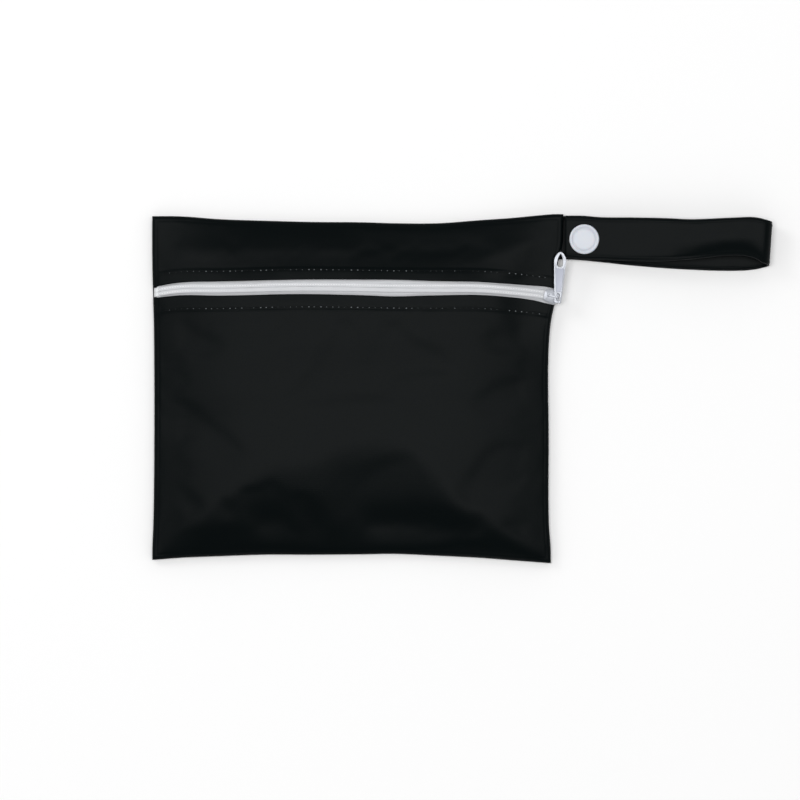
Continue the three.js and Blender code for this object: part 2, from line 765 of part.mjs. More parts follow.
// Stations along the strap's middle: place, the way that its thickness faces, and its shape across
function strapStations() {
  const lower = [];
  const from = strapStart - strapSewnLength;
  const lowerCount = 18;
  for (let i = 0; i < lowerCount; i++) {
    const x = blend(from, foldX, i / lowerCount);
    const along = strapAlong(x);
    lower.push({
      x,
      z: lowerLayerLevel(x),
      facing: 0,
      middle: follow(lowerRows, "along", "middle", along),
      width: follow(lowerRows, "along", "width", along),
      curl: 0,
      along,
    });
  }
  const fold = [];
  const foldCount = 10;
  const upperStart = upperRows.at(-1);
  for (let i = 0; i <= foldCount; i++) {
    const share = i / foldCount;
    const angle = Math.PI * share;
    fold.push({
      x: foldX + foldRadius * Math.sin(angle),
      z: restMiddle + foldRadius * (1 - Math.cos(angle)),
      facing: angle,
      middle: blend(lowerRows.at(-1).middle, upperStart.middle, share),
      width: blend(1, upperStart.width, share),
      curl: upperStart.curl * share,
      along: 1,
    });
  }
  const upper = [];
  const to = cornerX + strapEndGap;
  const upperCount = 24;
  for (let i = 1; i <= upperCount; i++) {
    const x = blend(foldX, to, i / upperCount);
    const along = strapAlong(x);
    const rise = follow(upperRows, "along", "rise", along);
    upper.push({
      x,
      z: blend(snapUpperMiddle, loopTop, rise),
      facing: Math.PI,
      middle: follow(upperRows, "along", "middle", along),
      width: follow(upperRows, "along", "width", along),
      curl: follow(upperRows, "along", "curl", along),
      along,
    });
  }
  return [...lower, ...fold, ...upper];
}

function strapBand() {
  const point = (station, across, side) => {
    const sink = Math.max(0, -across);
    const lift = station.curl * edgeCurl * sink * sink;
    const skew = foldSkew * across * smooth(station.along);
    const offset = (side * clothWall) / 2;
    return [
      station.x + skew - offset * Math.sin(station.facing),
      strapRise + strapWidth * (station.middle + (station.width * across) / 2),
      station.z + lift + offset * Math.cos(station.facing),
    ];
  };
  const across = [-1, -0.7, -0.35, 0, 0.5, 1];
  return sheet(
    strapStations(),
    across,
    (station, share) => point(station, share, 1),
    (station, share) => point(station, share, -1),
  );
}

const postHole = new THREE.CylinderGeometry(postRadius + fitGap, postRadius + fitGap, 4 * pouchHeight, 16)
  .rotateX(Math.PI / 2)
  .translate(snapX, snapY, 0);
addPiece("carrying_strap", cut(strapBand(), postHole), "cloth");

// Snap: a cap on each side of the cloth, a stud on the lower cap's post and a socket on the upper one's

// A cap with its post, dished inside its rim; height 0 is the face against the cloth
function snapCap(postLength) {
  return turned([
    [0, -postLength],
    [postRadius, -postLength],
    [postRadius, 0],
    [capRadius - 0.5, 0],
    [capRadius, capThickness * 0.35],
    [capRadius - 0.15, capThickness * 0.7],
    [capRadius - capRim * 0.5, capThickness],
    [capRadius - capRim, capThickness - capDish * 0.6],
    [capRadius - capRim * 1.25, capThickness - capDish],
    [0, capThickness - capDish],
  ]);
}

const boreRadius = postRadius + fitGap;
const stud = turned([
  [boreRadius, 0],
  [studRadius, 0],
  [studRadius, studFlange],
  [knobRadius - 0.2, studFlange],
  [knobRadius, studFlange + knobHeight * 0.6],
  [knobRadius - 0.3, studFlange + knobHeight],
  [boreRadius, studFlange + knobHeight],
  [boreRadius, 0],
]);
const socketDepth = knobHigh + fitGap - socketLow;
const socket = turned([
  [knobRadius + fitGap, 0],
  [socketRadius, 0],
  [socketRadius, socketDepth + socketRoof * 0.6],
  [socketRadius - 0.6, socketDepth + socketRoof],
  [boreRadius, socketDepth + socketRoof],
  [boreRadius, socketDepth],
  [knobRadius + fitGap, socketDepth],
  [knobRadius + fitGap, 0],
]);

const snap = new THREE.Group();
snap.position.set(snapX, snapY, 0);
group.add(snap);
const upperCap = addPiece("snap_upper_cap", snapCap(upperCapLow - knobHigh - fitGap), "snap", snap);
upperCap.position.z = upperCapLow;
const lowerCap = addPiece("snap_lower_cap", snapCap(knobHigh - lowerClothLow), "snap", snap);
lowerCap.rotation.x = Math.PI;
lowerCap.position.z = lowerClothLow - fitGap;
addPiece("snap_stud", stud, "snap", snap).position.z = studLow;
addPiece("snap_socket", socket, "snap", snap).position.z = socketLow;

export default group;
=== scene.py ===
"""Looks of a small zipped wet bag that lies on its back.

The bag is black laminated cloth. A pale coil zip runs across its front under woven tapes that cover
the coils, with a cast slider and its puller, and a plastic snap closes the carrying loop. Sizes in the
classes are millimetres, and meshes are built in metres.
"""

import bisect
import logging
import math
from dataclasses import dataclass, field
from enum import Enum
from typing import Any, Callable, NamedTuple, Sequence

import bmesh
import bpy
from mathutils import Matrix, Vector, noise


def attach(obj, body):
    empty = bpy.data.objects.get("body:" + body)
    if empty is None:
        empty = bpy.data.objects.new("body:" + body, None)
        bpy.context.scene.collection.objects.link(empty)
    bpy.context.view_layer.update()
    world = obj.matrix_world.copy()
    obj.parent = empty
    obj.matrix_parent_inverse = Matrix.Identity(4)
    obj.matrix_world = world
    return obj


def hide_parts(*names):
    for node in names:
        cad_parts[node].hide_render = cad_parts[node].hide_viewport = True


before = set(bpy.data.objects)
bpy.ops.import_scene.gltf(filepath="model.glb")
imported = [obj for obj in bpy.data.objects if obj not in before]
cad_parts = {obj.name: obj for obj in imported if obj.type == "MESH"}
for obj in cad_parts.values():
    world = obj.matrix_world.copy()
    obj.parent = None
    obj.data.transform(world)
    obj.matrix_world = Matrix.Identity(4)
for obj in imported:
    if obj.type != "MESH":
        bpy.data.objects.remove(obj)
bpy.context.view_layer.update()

MM = 0.001
CLOTH_WALL = 1.0
FIT_GAP = 0.3
log = logging.getLogger("wet_bag")


class Body(Enum):
    """The bodies that pieces ride on."""

    BAG = "bag"
    PULLER = "puller"


class Slot(Enum):
    """The record's material slots."""

    CLOTH = "cloth"
    TAPE = "zip_tape"
    COIL = "zip_coil"
    METAL = "zip_metal"
    SNAP = "snap_plastic"


class Side(Enum):
    """Which side of the zip a piece lies on."""

    UPPER = 1
    LOWER = -1


class SideRow(NamedTuple):
    """One height of the side edges, as shares of the waist and of the corner's flare."""

    up: float
    plain: float
    loop: float


class EndRow(NamedTuple):
    """One place of the top and bottom edges, as shares of their sag."""

    across: float
    top: float
    bottom: float


class ZipRow(NamedTuple):
    """One place of the zip, as shares of its droop and of its opening."""

    across: float
    droop: float
    opening: float


class BrowRow(NamedTuple):
    """One place of the brow below which the front falls to the bottom seam, as a share of the usual fall."""

    across: float
    fall: float


class FoldRow(NamedTuple):
    """One soft fold between two places, as shares of half the bag and of the usual fold."""

    x0: float
    y0: float
    x1: float
    y1: float
    width: float
    height: float


class StrapRow(NamedTuple):
    """One place of a layer of the carrying loop, as shares of the strap's sizes."""

    along: float
    middle: float
    width: float
    rise: float = 0.0
    curl: float = 0.0


class Wave(NamedTuple):
    """An uneven wave of cloth: its lengths in two directions, and where in the noise it is read."""

    across: float
    up: float
    seed: float

    def at(self, x: float, y: float) -> float:
        """The wave's height at a place, from about -1 to 1."""
        return noise.noise(Vector((x / self.across, y / self.up, self.seed)))


class CapRow(NamedTuple):
    """One point of a snap cap's outline: how far in from its rim, and its height down from the cap's top."""

    inward: float
    down: float


# Outline of the bag and its folds, read off the photo as shares of the sizes that they follow
SIDE_ROWS = (
    SideRow(-1.0, -0.4, -0.18),
    SideRow(-0.92, -0.4, -0.2),
    SideRow(-0.78, 0.1, -0.36),
    SideRow(-0.3, 0.6, -0.38),
    SideRow(0.25, 0.5, -0.37),
    SideRow(0.4, 0.3, -0.12),
    SideRow(0.47, 0.1, 0.14),
    SideRow(0.53, 0.0, 0.4),
    SideRow(0.62, -0.25, 0.44),
    SideRow(0.7, -0.4, 0.45),
    SideRow(0.74, -0.45, 0.52),
    SideRow(0.78, -0.5, 0.78),
    SideRow(0.82, -0.5, 0.93),
    SideRow(0.91, -0.5, 0.98),
    SideRow(1.0, -0.4, 1.0),
)
END_ROWS = (
    EndRow(-1.0, 0.22, 0.21),
    EndRow(-0.86, 0.24, 0.45),
    EndRow(-0.67, 0.55, 0.62),
    EndRow(-0.45, 0.72, 0.79),
    EndRow(-0.2, 0.86, 0.79),
    EndRow(0.05, 0.9, 0.83),
    EndRow(0.2, 1.0, 0.88),
    EndRow(0.43, 1.0, 0.67),
    EndRow(0.63, 0.67, 0.45),
    EndRow(0.78, 0.45, 0.2),
    EndRow(0.9, 0.2, 0.0),
    EndRow(1.0, 0.0, -0.17),
)
ZIP_ROWS = (
    ZipRow(-1.0, 0.5, 0.73),
    ZipRow(-0.95, 0.32, 0.8),
    ZipRow(-0.86, 0.1, 0.87),
    ZipRow(-0.66, 0.07, 0.98),
    ZipRow(-0.26, -0.1, 1.0),
    ZipRow(0.05, -0.04, 1.09),
    ZipRow(0.2, 0.02, 1.16),
    ZipRow(0.4, 0.04, 1.0),
    ZipRow(0.63, 0.06, 0.91),
    ZipRow(0.74, 0.2, 0.9),
    ZipRow(0.84, 0.37, 0.93),
    ZipRow(0.94, 0.62, 1.05),
    ZipRow(1.03, 1.0, 1.12),
)
BROW_ROWS = (
    BrowRow(-1.0, 0.16),
    BrowRow(-0.765, 0.33),
    BrowRow(-0.44, 0.62),
    BrowRow(-0.19, 0.69),
    BrowRow(-0.04, 0.8),
    BrowRow(0.11, 0.84),
    BrowRow(0.285, 0.76),
    BrowRow(0.41, 0.62),
    BrowRow(0.535, 0.4),
    BrowRow(0.685, 0.29),
    BrowRow(0.885, 0.14),
    BrowRow(1.0, 0.12),
)
FOLD_ROWS = (
    FoldRow(-0.42, -0.76, -0.2, -0.78, 0.75, -0.7),
    FoldRow(0.13, -0.78, 0.6, -0.8, 0.7, -0.8),
    FoldRow(0.4, -0.91, 0.62, -0.88, 0.4, 0.4),
    FoldRow(-0.6, -0.93, -0.4, -0.92, 0.4, 0.35),
    FoldRow(-0.9, -0.21, -0.7, -0.22, 1.0, -0.4),
    FoldRow(-0.35, 0.1, 0.3, 0.2, 2.4, -0.4),
    FoldRow(-0.5, 0.86, -0.1, 0.87, 0.6, 0.25),
    FoldRow(0.1, 0.79, 0.6, 0.8, 0.9, -0.3),
)
# The two layers of the carrying loop, from the seam to the fold
LOWER_ROWS = (
    StrapRow(-0.07, 0.0, 1.0),
    StrapRow(0.03, 0.0, 1.0),
    StrapRow(0.18, -0.06, 1.0),
    StrapRow(0.34, -0.14, 1.0),
    StrapRow(0.61, -0.23, 1.0),
    StrapRow(0.88, -0.25, 1.0),
    StrapRow(0.97, -0.2, 1.0),
)
UPPER_ROWS = (
    StrapRow(0.0, 0.02, 0.97, -0.1, 0.0),
    StrapRow(0.097, 0.0, 1.0, 0.0, 0.0),
    StrapRow(0.17, -0.02, 0.98, 0.03, 0.0),
    StrapRow(0.34, -0.04, 1.0, 0.6, 0.05),
    StrapRow(0.48, -0.05, 0.99, 0.95, 0.15),
    StrapRow(0.61, -0.045, 0.93, 1.05, 0.5),
    StrapRow(0.82, 0.02, 0.88, 1.05, 1.0),
    StrapRow(0.9, 0.01, 0.92, 1.02, 0.8),
    StrapRow(0.97, -0.08, 1.0, 1.0, 0.2),
)
# A cap's rounded rim and the shallow dish inside it, in millimetres
CAP_ROWS = (
    CapRow(0.18, 1.0),
    CapRow(0.0, 0.74),
    CapRow(0.04, 0.48),
    CapRow(0.16, 0.24),
    CapRow(0.32, 0.08),
    CapRow(0.5, 0.0),
    CapRow(1.05, 0.03),
    CapRow(1.3, 0.2),
    CapRow(1.4, 0.42),
    CapRow(1.65, 0.42),
    CapRow(1.85, 0.3),
    CapRow(2.5, 0.26),
)


def limit(value: float, low: float, high: float) -> float:
    """A value kept between two others."""
    return min(max(value, low), high)


def blend(start: float, end: float, share: float) -> float:
    """A value that far from the start to the end."""
    return start + (end - start) * share


def smooth(share: float) -> float:
    """0 to 1 with a level start and end."""
    s = limit(share, 0.0, 1.0)
    return s * s * (3 - 2 * s)


def ease(share: float) -> float:
    """0 to 1 with a level end only."""
    s = limit(share, 0.0, 1.0)
    return 1 - (1 - s) * (1 - s)


def quarter_round(share: float) -> float:
    """The quarter round of a turned edge, 0 at the edge and 1 past its radius."""
    s = 1 - limit(share, 0.0, 1.0)
    return math.sqrt(1 - s * s)


def bump(distance: float, width: float) -> float:
    """A soft ridge of height 1 whose half width is given."""
    return math.exp(-((distance / width) ** 2))


@dataclass(frozen=True)
class Curve:
    """A smooth curve through one column of a table."""

    keys: tuple[float, ...]
    values: tuple[float, ...]

    @classmethod
    def of(cls, rows: Sequence[NamedTuple], key: str, column: str) -> "Curve":
        """The curve through a column, read along another.

        Args:
            rows: The table, in the order of its key.
            key: The column that it is read along.
            column: The column that it gives.

        Returns:
            The curve.
        """
        return cls(tuple(getattr(r, key) for r in rows), tuple(getattr(r, column) for r in rows))

    def slope(self, step: int) -> float:
        """How steep the straight line of one step is."""
        return (self.values[step + 1] - self.values[step]) / (self.keys[step + 1] - self.keys[step])

    def at(self, place: float) -> float:
        """The curve's value.

        Args:
            place: Where along the key.

        Returns:
            The value, level past both ends.
        """
        last = len(self.keys) - 1
        if place <= self.keys[0]:
            return self.values[0]
        if place >= self.keys[last]:
            return self.values[last]
        i = bisect.bisect_right(self.keys, place) - 1
        before = (self.slope(i - 1) + self.slope(i)) / 2 if i > 0 else self.slope(i)
        after = (self.slope(i) + self.slope(i + 1)) / 2 if i < last - 1 else self.slope(i)
        span = self.keys[i + 1] - self.keys[i]
        t = (place - self.keys[i]) / span
        rest = 1 - t
        start = (1 + 2 * t) * self.values[i] + t * span * before
        end = (1 + 2 * rest) * self.values[i + 1] - rest * span * after
        return rest * rest * start + t * t * end


def stations(
    length: float, step: float, start: Sequence[float] = (), end: Sequence[float] = ()
) -> list[float]:
    """Shares from 0 to 1 along a length.

    Args:
        length: The length that the distances belong to.
        step: About how far apart the plain places are.
        start: Distances from the start that get a place of their own.
        end: Distances from the end that get a place of their own.

    Returns:
        The shares, in order.
    """
    first = [0.0, *(d / length for d in start)]
    last = [*(1 - d / length for d in reversed(end)), 1.0]
    count = max(1, round((last[0] - first[-1]) * length / step))
    between = [blend(first[-1], last[0], i / count) for i in range(1, count)]
    return [*first, *between, *last]


@dataclass(frozen=True)
class PouchForm:
    """Outline, heights and small sewn details of the lying pouch."""

    width: float = 185.0
    height: float = 161.0
    fullness: float = 10.0
    corner_flare: float = 4.9
    side_waist: float = 0.9
    edge_sag: float = 4.2
    seam_level: float = 1.6
    rim_radius: float = 1.8
    rim_rise: float = 1.5
    side_shoulder: float = 58.0
    bottom_shoulder: float = 64.0
    top_shoulder: float = 46.0
    fold_width: float = 10.0
    fold_height: float = 1.0
    zip_below_top: float = 34.3
    zip_droop: float = 4.6
    zip_opening: float = 6.6
    slider_length: float = 7.0
    slider_width: float = 6.7
    slider_overhang: float = 1.0
    slider_front_level: float = 4.75
    strap_width: float = 20.2
    strap_below_top: float = 11.1
    strap_sewn_length: float = 6.4
    strap_bulge: float = 5.0
    lift_start: float = 6.0
    lift_run: float = 5.0
    slider_flat: float = 0.8
    slider_flat_run: float = 3.0
    stitch_above: float = 7.9
    stitch_below: float = 9.3
    brow_rise: float = 0.5
    brow_width: float = 11.0
    brow_fade: float = 30.0
    hem_rise: float = 0.25
    hem_overlap: float = 0.2
    hem_fade: float = 1.4
    stitch_sink: float = 0.07
    stitch_groove: float = 0.55
    seam_press: float = 0.12
    seam_press_inset: float = 2.2
    seam_groove: float = 0.5
    pucker: float = 0.12
    pucker_inset: float = 2.0
    pucker_fade: float = 5.0
    pucker_row: float = 2.6
    coarse_pucker: Wave = Wave(4.1, 5.3, 2.7)
    fine_pucker: Wave = Wave(1.9, 2.6, 8.1)
    loose_wave: Wave = Wave(23, 17, 5.5)
    loose_inset: float = 4.0
    loose_rim: float = 12.0
    loose_row: float = 8.0
    plain: Curve = field(default_factory=lambda: Curve.of(SIDE_ROWS, "up", "plain"))
    loop: Curve = field(default_factory=lambda: Curve.of(SIDE_ROWS, "up", "loop"))
    top: Curve = field(default_factory=lambda: Curve.of(END_ROWS, "across", "top"))
    bottom: Curve = field(default_factory=lambda: Curve.of(END_ROWS, "across", "bottom"))
    droop: Curve = field(default_factory=lambda: Curve.of(ZIP_ROWS, "across", "droop"))
    opening: Curve = field(default_factory=lambda: Curve.of(ZIP_ROWS, "across", "opening"))
    fall: Curve = field(default_factory=lambda: Curve.of(BROW_ROWS, "across", "fall"))

    @property
    def zip_height(self) -> float:
        """The zip's middle above the middle of the bag."""
        return self.height / 2 - self.zip_below_top

    @property
    def strap_rise(self) -> float:
        """The strap's middle above the middle of the bag."""
        return self.height / 2 - self.strap_below_top

    @property
    def slider_x(self) -> float:
        """The slider's middle along the zip."""
        edge = self.loop_edge(self.zip_height - self.zip_droop)
        return edge + self.slider_overhang - self.slider_length / 2

    def plain_edge(self, y: float) -> float:
        """The side edge away from the loop."""
        return -self.width / 2 + self.side_waist * self.plain.at(2 * y / self.height)

    def loop_edge(self, y: float) -> float:
        """The side edge that the loop is sewn into."""
        return self.width / 2 + self.corner_flare * self.loop.at(2 * y / self.height)

    def top_edge(self, x: float) -> float:
        """The top edge."""
        return self.height / 2 - self.edge_sag * self.top.at(2 * x / self.width)

    def bottom_edge(self, x: float) -> float:
        """The bottom edge."""
        return -self.height / 2 + self.edge_sag * self.bottom.at(2 * x / self.width)

    def zip_line(self, x: float) -> float:
        """The zip's middle line."""
        return self.zip_height - self.zip_droop * self.droop.at(2 * x / self.width)

    def zip_half_opening(self, x: float) -> float:
        """Half the distance between the folded edges of the front panels."""
        plain = self.zip_opening / 2 * self.opening.at(2 * x / self.width)
        beside = smooth((x - self.slider_x + self.slider_length) / (self.slider_length / 2))
        return blend(plain, self.slider_width / 2 + 1.5 * FIT_GAP, beside)

    def zip_edge(self, x: float, side: Side) -> float:
        """The folded edge of the front panel on one side of the zip."""
        return self.zip_line(x) + side.value * self.zip_half_opening(x)

    def stitch_line(self, x: float, side: Side) -> float:
        """The row of stitches that holds the zip on one side."""
        return self.zip_line(x) + (self.stitch_above if side is Side.UPPER else -self.stitch_below)

    def edge_distance(self, x: float, y: float) -> float:
        """How far a place is in from the nearest outer edge."""
        across = min(x - self.plain_edge(y), self.loop_edge(y) - x)
        return min(across, y - self.bottom_edge(x), self.top_edge(x) - y)

    def upper_seam(self, x: float, y: float) -> float:
        """The front's seam, which lies higher where the strap is sewn in.

        Args:
            x: The place along the bag.
            y: The place up the bag.

        Returns:
            The height in millimetres.
        """
        beside = self.strap_width / 2 + 2 * self.strap_bulge - abs(y - self.strap_rise)
        inward = x - (self.width / 2 - self.lift_start * self.strap_sewn_length)
        lift = smooth(beside / self.strap_bulge) * smooth(inward / (self.lift_run * self.strap_sewn_length))
        return self.seam_level + FIT_GAP / 2 + (CLOTH_WALL + FIT_GAP) * lift

    def folds(self, x: float, y: float) -> float:
        """The height of the soft folds.

        Args:
            x: The place along the bag.
            y: The place up the bag.

        Returns:
            The height in millimetres.
        """
        total = 0.0
        place = Vector((x, y))
        half = Vector((self.width / 2, self.height / 2))
        for row in FOLD_ROWS:
            start = Vector((row.x0, row.y0)) * half
            run = Vector((row.x1, row.y1)) * half - start
            along = limit((place - start).dot(run) / run.length_squared, 0.0, 1.0)
            distance = (place - start - run * along).length
            total += row.height * self.fold_height * bump(distance, row.width * self.fold_width)
        return total

    def front_face(self, x: float, y: float) -> float:
        """The front's face without the rounding at its seams, level round the slider.

        Args:
            x: The place along the bag.
            y: The place up the bag.

        Returns:
            The height in millimetres.
        """
        sides = min(x - self.plain_edge(y), self.loop_edge(y) - x)
        fall = self.bottom_shoulder * self.fall.at(2 * x / self.width)
        above = y - self.bottom_edge(x)
        full = ease(sides / self.side_shoulder) * ease(above / fall)
        full *= ease((self.top_edge(x) - y) / self.top_shoulder)
        inside = smooth(self.edge_distance(x, y) / self.fold_width)
        dome = self.fullness - (self.seam_level + FIT_GAP / 2 + self.rim_rise)
        brow = self.brow_rise * bump(above - fall, self.brow_width) * smooth(sides / self.brow_fade)
        relief = (self.folds(x, y) + brow) * inside
        plain = self.upper_seam(x, y) + self.rim_rise + dome * full + relief
        reach = math.hypot(x - self.slider_x, (y - self.zip_line(self.slider_x)) * self.slider_flat)
        beyond = reach - self.slider_length * self.slider_flat
        away = smooth(beyond / (self.slider_flat_run * self.slider_length))
        return blend(self.slider_front_level, plain, away)

    def sewn_detail(self, x: float, y: float) -> float:
        """Pressed seam line, sunk stitch rows, double hem and puckers of the front.

        Args:
            x: The place along the bag.
            y: The place up the bag.

        Returns:
            What they add to the height, in millimetres.
        """
        edge = self.edge_distance(x, y)
        side = Side.UPPER if y > self.zip_line(x) else Side.LOWER
        inward = (y - self.stitch_line(x, side)) * side.value
        hem = self.hem_rise * (1 - smooth((inward - self.hem_overlap) / self.hem_fade))
        sunk = self.stitch_sink * bump(inward, self.stitch_groove)
        pressed = self.seam_press * bump(edge - self.seam_press_inset, self.seam_groove)
        ripple = self.coarse_pucker.at(x, y) + 0.6 * self.fine_pucker.at(x, y)
        near = math.exp(-max(edge - self.pucker_inset, 0) / self.pucker_fade)
        near += 0.8 * bump(inward, self.pucker_row)
        loose = smooth((edge - self.loose_inset) / self.loose_rim) * smooth(abs(inward) / self.loose_row)
        slack = self.loose_wave.at(x, y) * loose
        return hem - sunk - pressed + self.pucker * ripple * near + 2 * self.pucker * slack

    def front_level(self, x: float, y: float) -> float:
        """The front's outer face, down to the seam.

        Args:
            x: The place along the bag.
            y: The place up the bag.

        Returns:
            The height in millimetres.
        """
        seam = self.upper_seam(x, y)
        edge = self.edge_distance(x, y)
        turn = quarter_round(edge / self.rim_radius)
        detail = self.sewn_detail(x, y) * smooth(edge / self.rim_radius)
        return seam + turn * (self.front_face(x, y) - seam) + detail

    def back_level(self, x: float, y: float) -> float:
        """The back's underside, up to the seam."""
        low = self.seam_level - FIT_GAP / 2
        return low * (1 - quarter_round(self.edge_distance(x, y) / self.rim_radius))

    def panel_place(
        self, across: float, up: float, low: Callable[[float], float], high: Callable[[float], float]
    ) -> tuple[float, float]:
        """A place of a panel between two of the bag's cross lines.

        Args:
            across: Share of the way between the side edges.
            up: Share of the way between the two lines.
            low: The lower line.
            high: The upper line.

        Returns:
            The place's x and y, found in a few steps because the edges and the lines depend on each other.
        """
        x = blend(-self.width / 2, self.width / 2, across)
        for _ in range(4):
            y = blend(low(x), high(x), up)
            x = blend(self.plain_edge(y), self.loop_edge(y), across)
        return x, blend(low(x), high(x), up)


FORM = PouchForm()


def mapped_grid(
    columns: Sequence[float], rows: Sequence[float], place: Callable[[float, float], Sequence[float]]
) -> bmesh.types.BMesh:
    """A grid whose points are moved onto a shape.

    Args:
        columns: Shares of the first direction.
        rows: Shares of the second direction.
        place: Gives the place in millimetres for a share of each direction.

    Returns:
        The mesh, in metres.
    """
    mesh = bmesh.new()
    across, up = len(columns) - 1, len(rows) - 1
    bmesh.ops.create_grid(mesh, x_segments=across, y_segments=up, size=0.5)
    for vert in mesh.verts:
        column = columns[round((vert.co.x + 0.5) * across)]
        row = rows[round((vert.co.y + 0.5) * up)]
        vert.co = Vector(place(column, row)) * MM
    return mesh


def thicken(mesh: bmesh.types.BMesh, wall: float) -> None:
    """Gives an open sheet its wall, which grows away from its face.

    Args:
        mesh: The sheet, whose normals point out of its face.
        wall: The wall in millimetres.
    """
    mesh.normal_update()
    bmesh.ops.solidify(mesh, geom=mesh.faces[:], thickness=wall * MM)
    bmesh.ops.recalc_face_normals(mesh, faces=mesh.faces[:])


def made_object(
    name: str, mesh: bmesh.types.BMesh, materials: Sequence[bpy.types.Material]
) -> bpy.types.Object:
    """A smooth-shaded object of a finished mesh, at the origin.

    Args:
        name: The object's name.
        mesh: The mesh, which is freed.
        materials: Its materials, in the order of the faces' material indices.

    Returns:
        The object.
    """
    bmesh.ops.recalc_face_normals(mesh, faces=mesh.faces[:])
    for face in mesh.faces:
        face.smooth = True
    data = bpy.data.meshes.new(name)
    mesh.to_mesh(data)
    mesh.free()
    for material in materials:
        data.materials.append(material)
    made = bpy.data.objects.new(name, data)
    bpy.context.scene.collection.objects.link(made)
    return made


def soften(made: bpy.types.Object) -> None:
    """Adds a live subdivision surface of one level, the same in view and render.

    Args:
        made: The object.
    """
    surface = made.modifiers.new("soft surface", "SUBSURF")
    surface.levels = 1
    surface.render_levels = surface.levels


def sharpen(made: bpy.types.Object, degrees: float) -> None:
    """Shades the edges sharp whose faces meet at more than an angle in degrees."""
    made.data.set_sharp_from_angle(angle=math.radians(degrees))


@dataclass(frozen=True)
class Slack:
    """A short cloth simulation that lets a sewn panel show its slack."""

    growth: float = 0.0015
    steps: int = 20
    cap: float = 0.2
    stiffness: float = 12.0
    shear_share: float = 0.5
    bending: float = 3.0
    mass: float = 0.2
    damping: float = 2.0
    quality: int = 6

    def settle(self, mesh: bmesh.types.BMesh, held: Callable[[Vector], float]) -> None:
        """Moves a sheet's points to where the slack cloth settles.

        Args:
            mesh: The open sheet.
            held: Gives how firmly sewn a place is, from 0 to 1.
        """
        data = bpy.data.meshes.new("slack")
        mesh.to_mesh(data)
        trial = bpy.data.objects.new("slack", data)
        scene = bpy.context.scene
        scene.collection.objects.link(trial)
        pins = trial.vertex_groups.new(name="sewn")
        for vert in data.vertices:
            pins.add([vert.index], held(vert.co), "REPLACE")
        cloth = trial.modifiers.new("cloth", "CLOTH")
        cloth.settings.vertex_group_mass = pins.name
        cloth.settings.quality = self.quality
        cloth.settings.mass = self.mass
        cloth.settings.tension_stiffness = self.stiffness
        cloth.settings.compression_stiffness = self.stiffness
        cloth.settings.shear_stiffness = self.stiffness * self.shear_share
        cloth.settings.bending_stiffness = self.bending
        cloth.settings.air_damping = self.damping
        cloth.settings.shrink_min = -self.growth
        cloth.settings.effector_weights.gravity = 0
        cloth.point_cache.frame_start = 1
        cloth.point_cache.frame_end = self.steps
        for step in range(1, self.steps + 1):
            scene.frame_set(step)
        settled = trial.evaluated_get(bpy.context.evaluated_depsgraph_get()).data.vertices
        mesh.verts.ensure_lookup_table()
        for vert in mesh.verts:
            move = settled[vert.index].co - vert.co
            if move.length > self.cap * MM:
                move = move.normalized() * self.cap * MM
            vert.co += move * (1 - held(vert.co))
        scene.frame_set(1)
        bpy.data.objects.remove(trial)


def linear(colour: str) -> tuple[float, float, float, float]:
    """An sRGB hex colour as linear light.

    Args:
        colour: The colour, such as #1a2b3c.

    Returns:
        The four linear channels, with full alpha.
    """
    parts = [int(colour[i : i + 2], 16) / 255 for i in (1, 3, 5)]
    red, green, blue = (c / 12.92 if c <= 0.04045 else ((c + 0.055) / 1.055) ** 2.4 for c in parts)
    return red, green, blue, 1.0


def add_node(
    tree: bpy.types.NodeTree, kind: str, settings: dict[str, Any], links: dict[str, Any]
) -> bpy.types.Node:
    """Adds a node.

    Args:
        tree: The node tree.
        kind: The node's type.
        settings: Its properties by name, and the values of its inputs by name.
        links: The output sockets that its inputs take, by input name.

    Returns:
        The node.
    """
    node = tree.nodes.new(kind)
    for key, value in settings.items():
        if hasattr(node, key) and key not in node.inputs:
            setattr(node, key, value)
        else:
            node.inputs[key].default_value = value
    for key, socket in links.items():
        tree.links.new(socket, node.inputs[key])
    return node


def speckle(tree: bpy.types.NodeTree, place: Any, size: float, detail: float) -> Any:
    """Adds an uneven texture.

    Args:
        tree: The node tree.
        place: The socket of the place.
        size: About how large its patches are, in millimetres.
        detail: How many finer sizes it has.

    Returns:
        The socket of its value.
    """
    settings = {"Scale": 1 / (size * MM), "Detail": detail}
    return add_node(tree, "ShaderNodeTexNoise", settings, {"Vector": place}).outputs["Fac"]


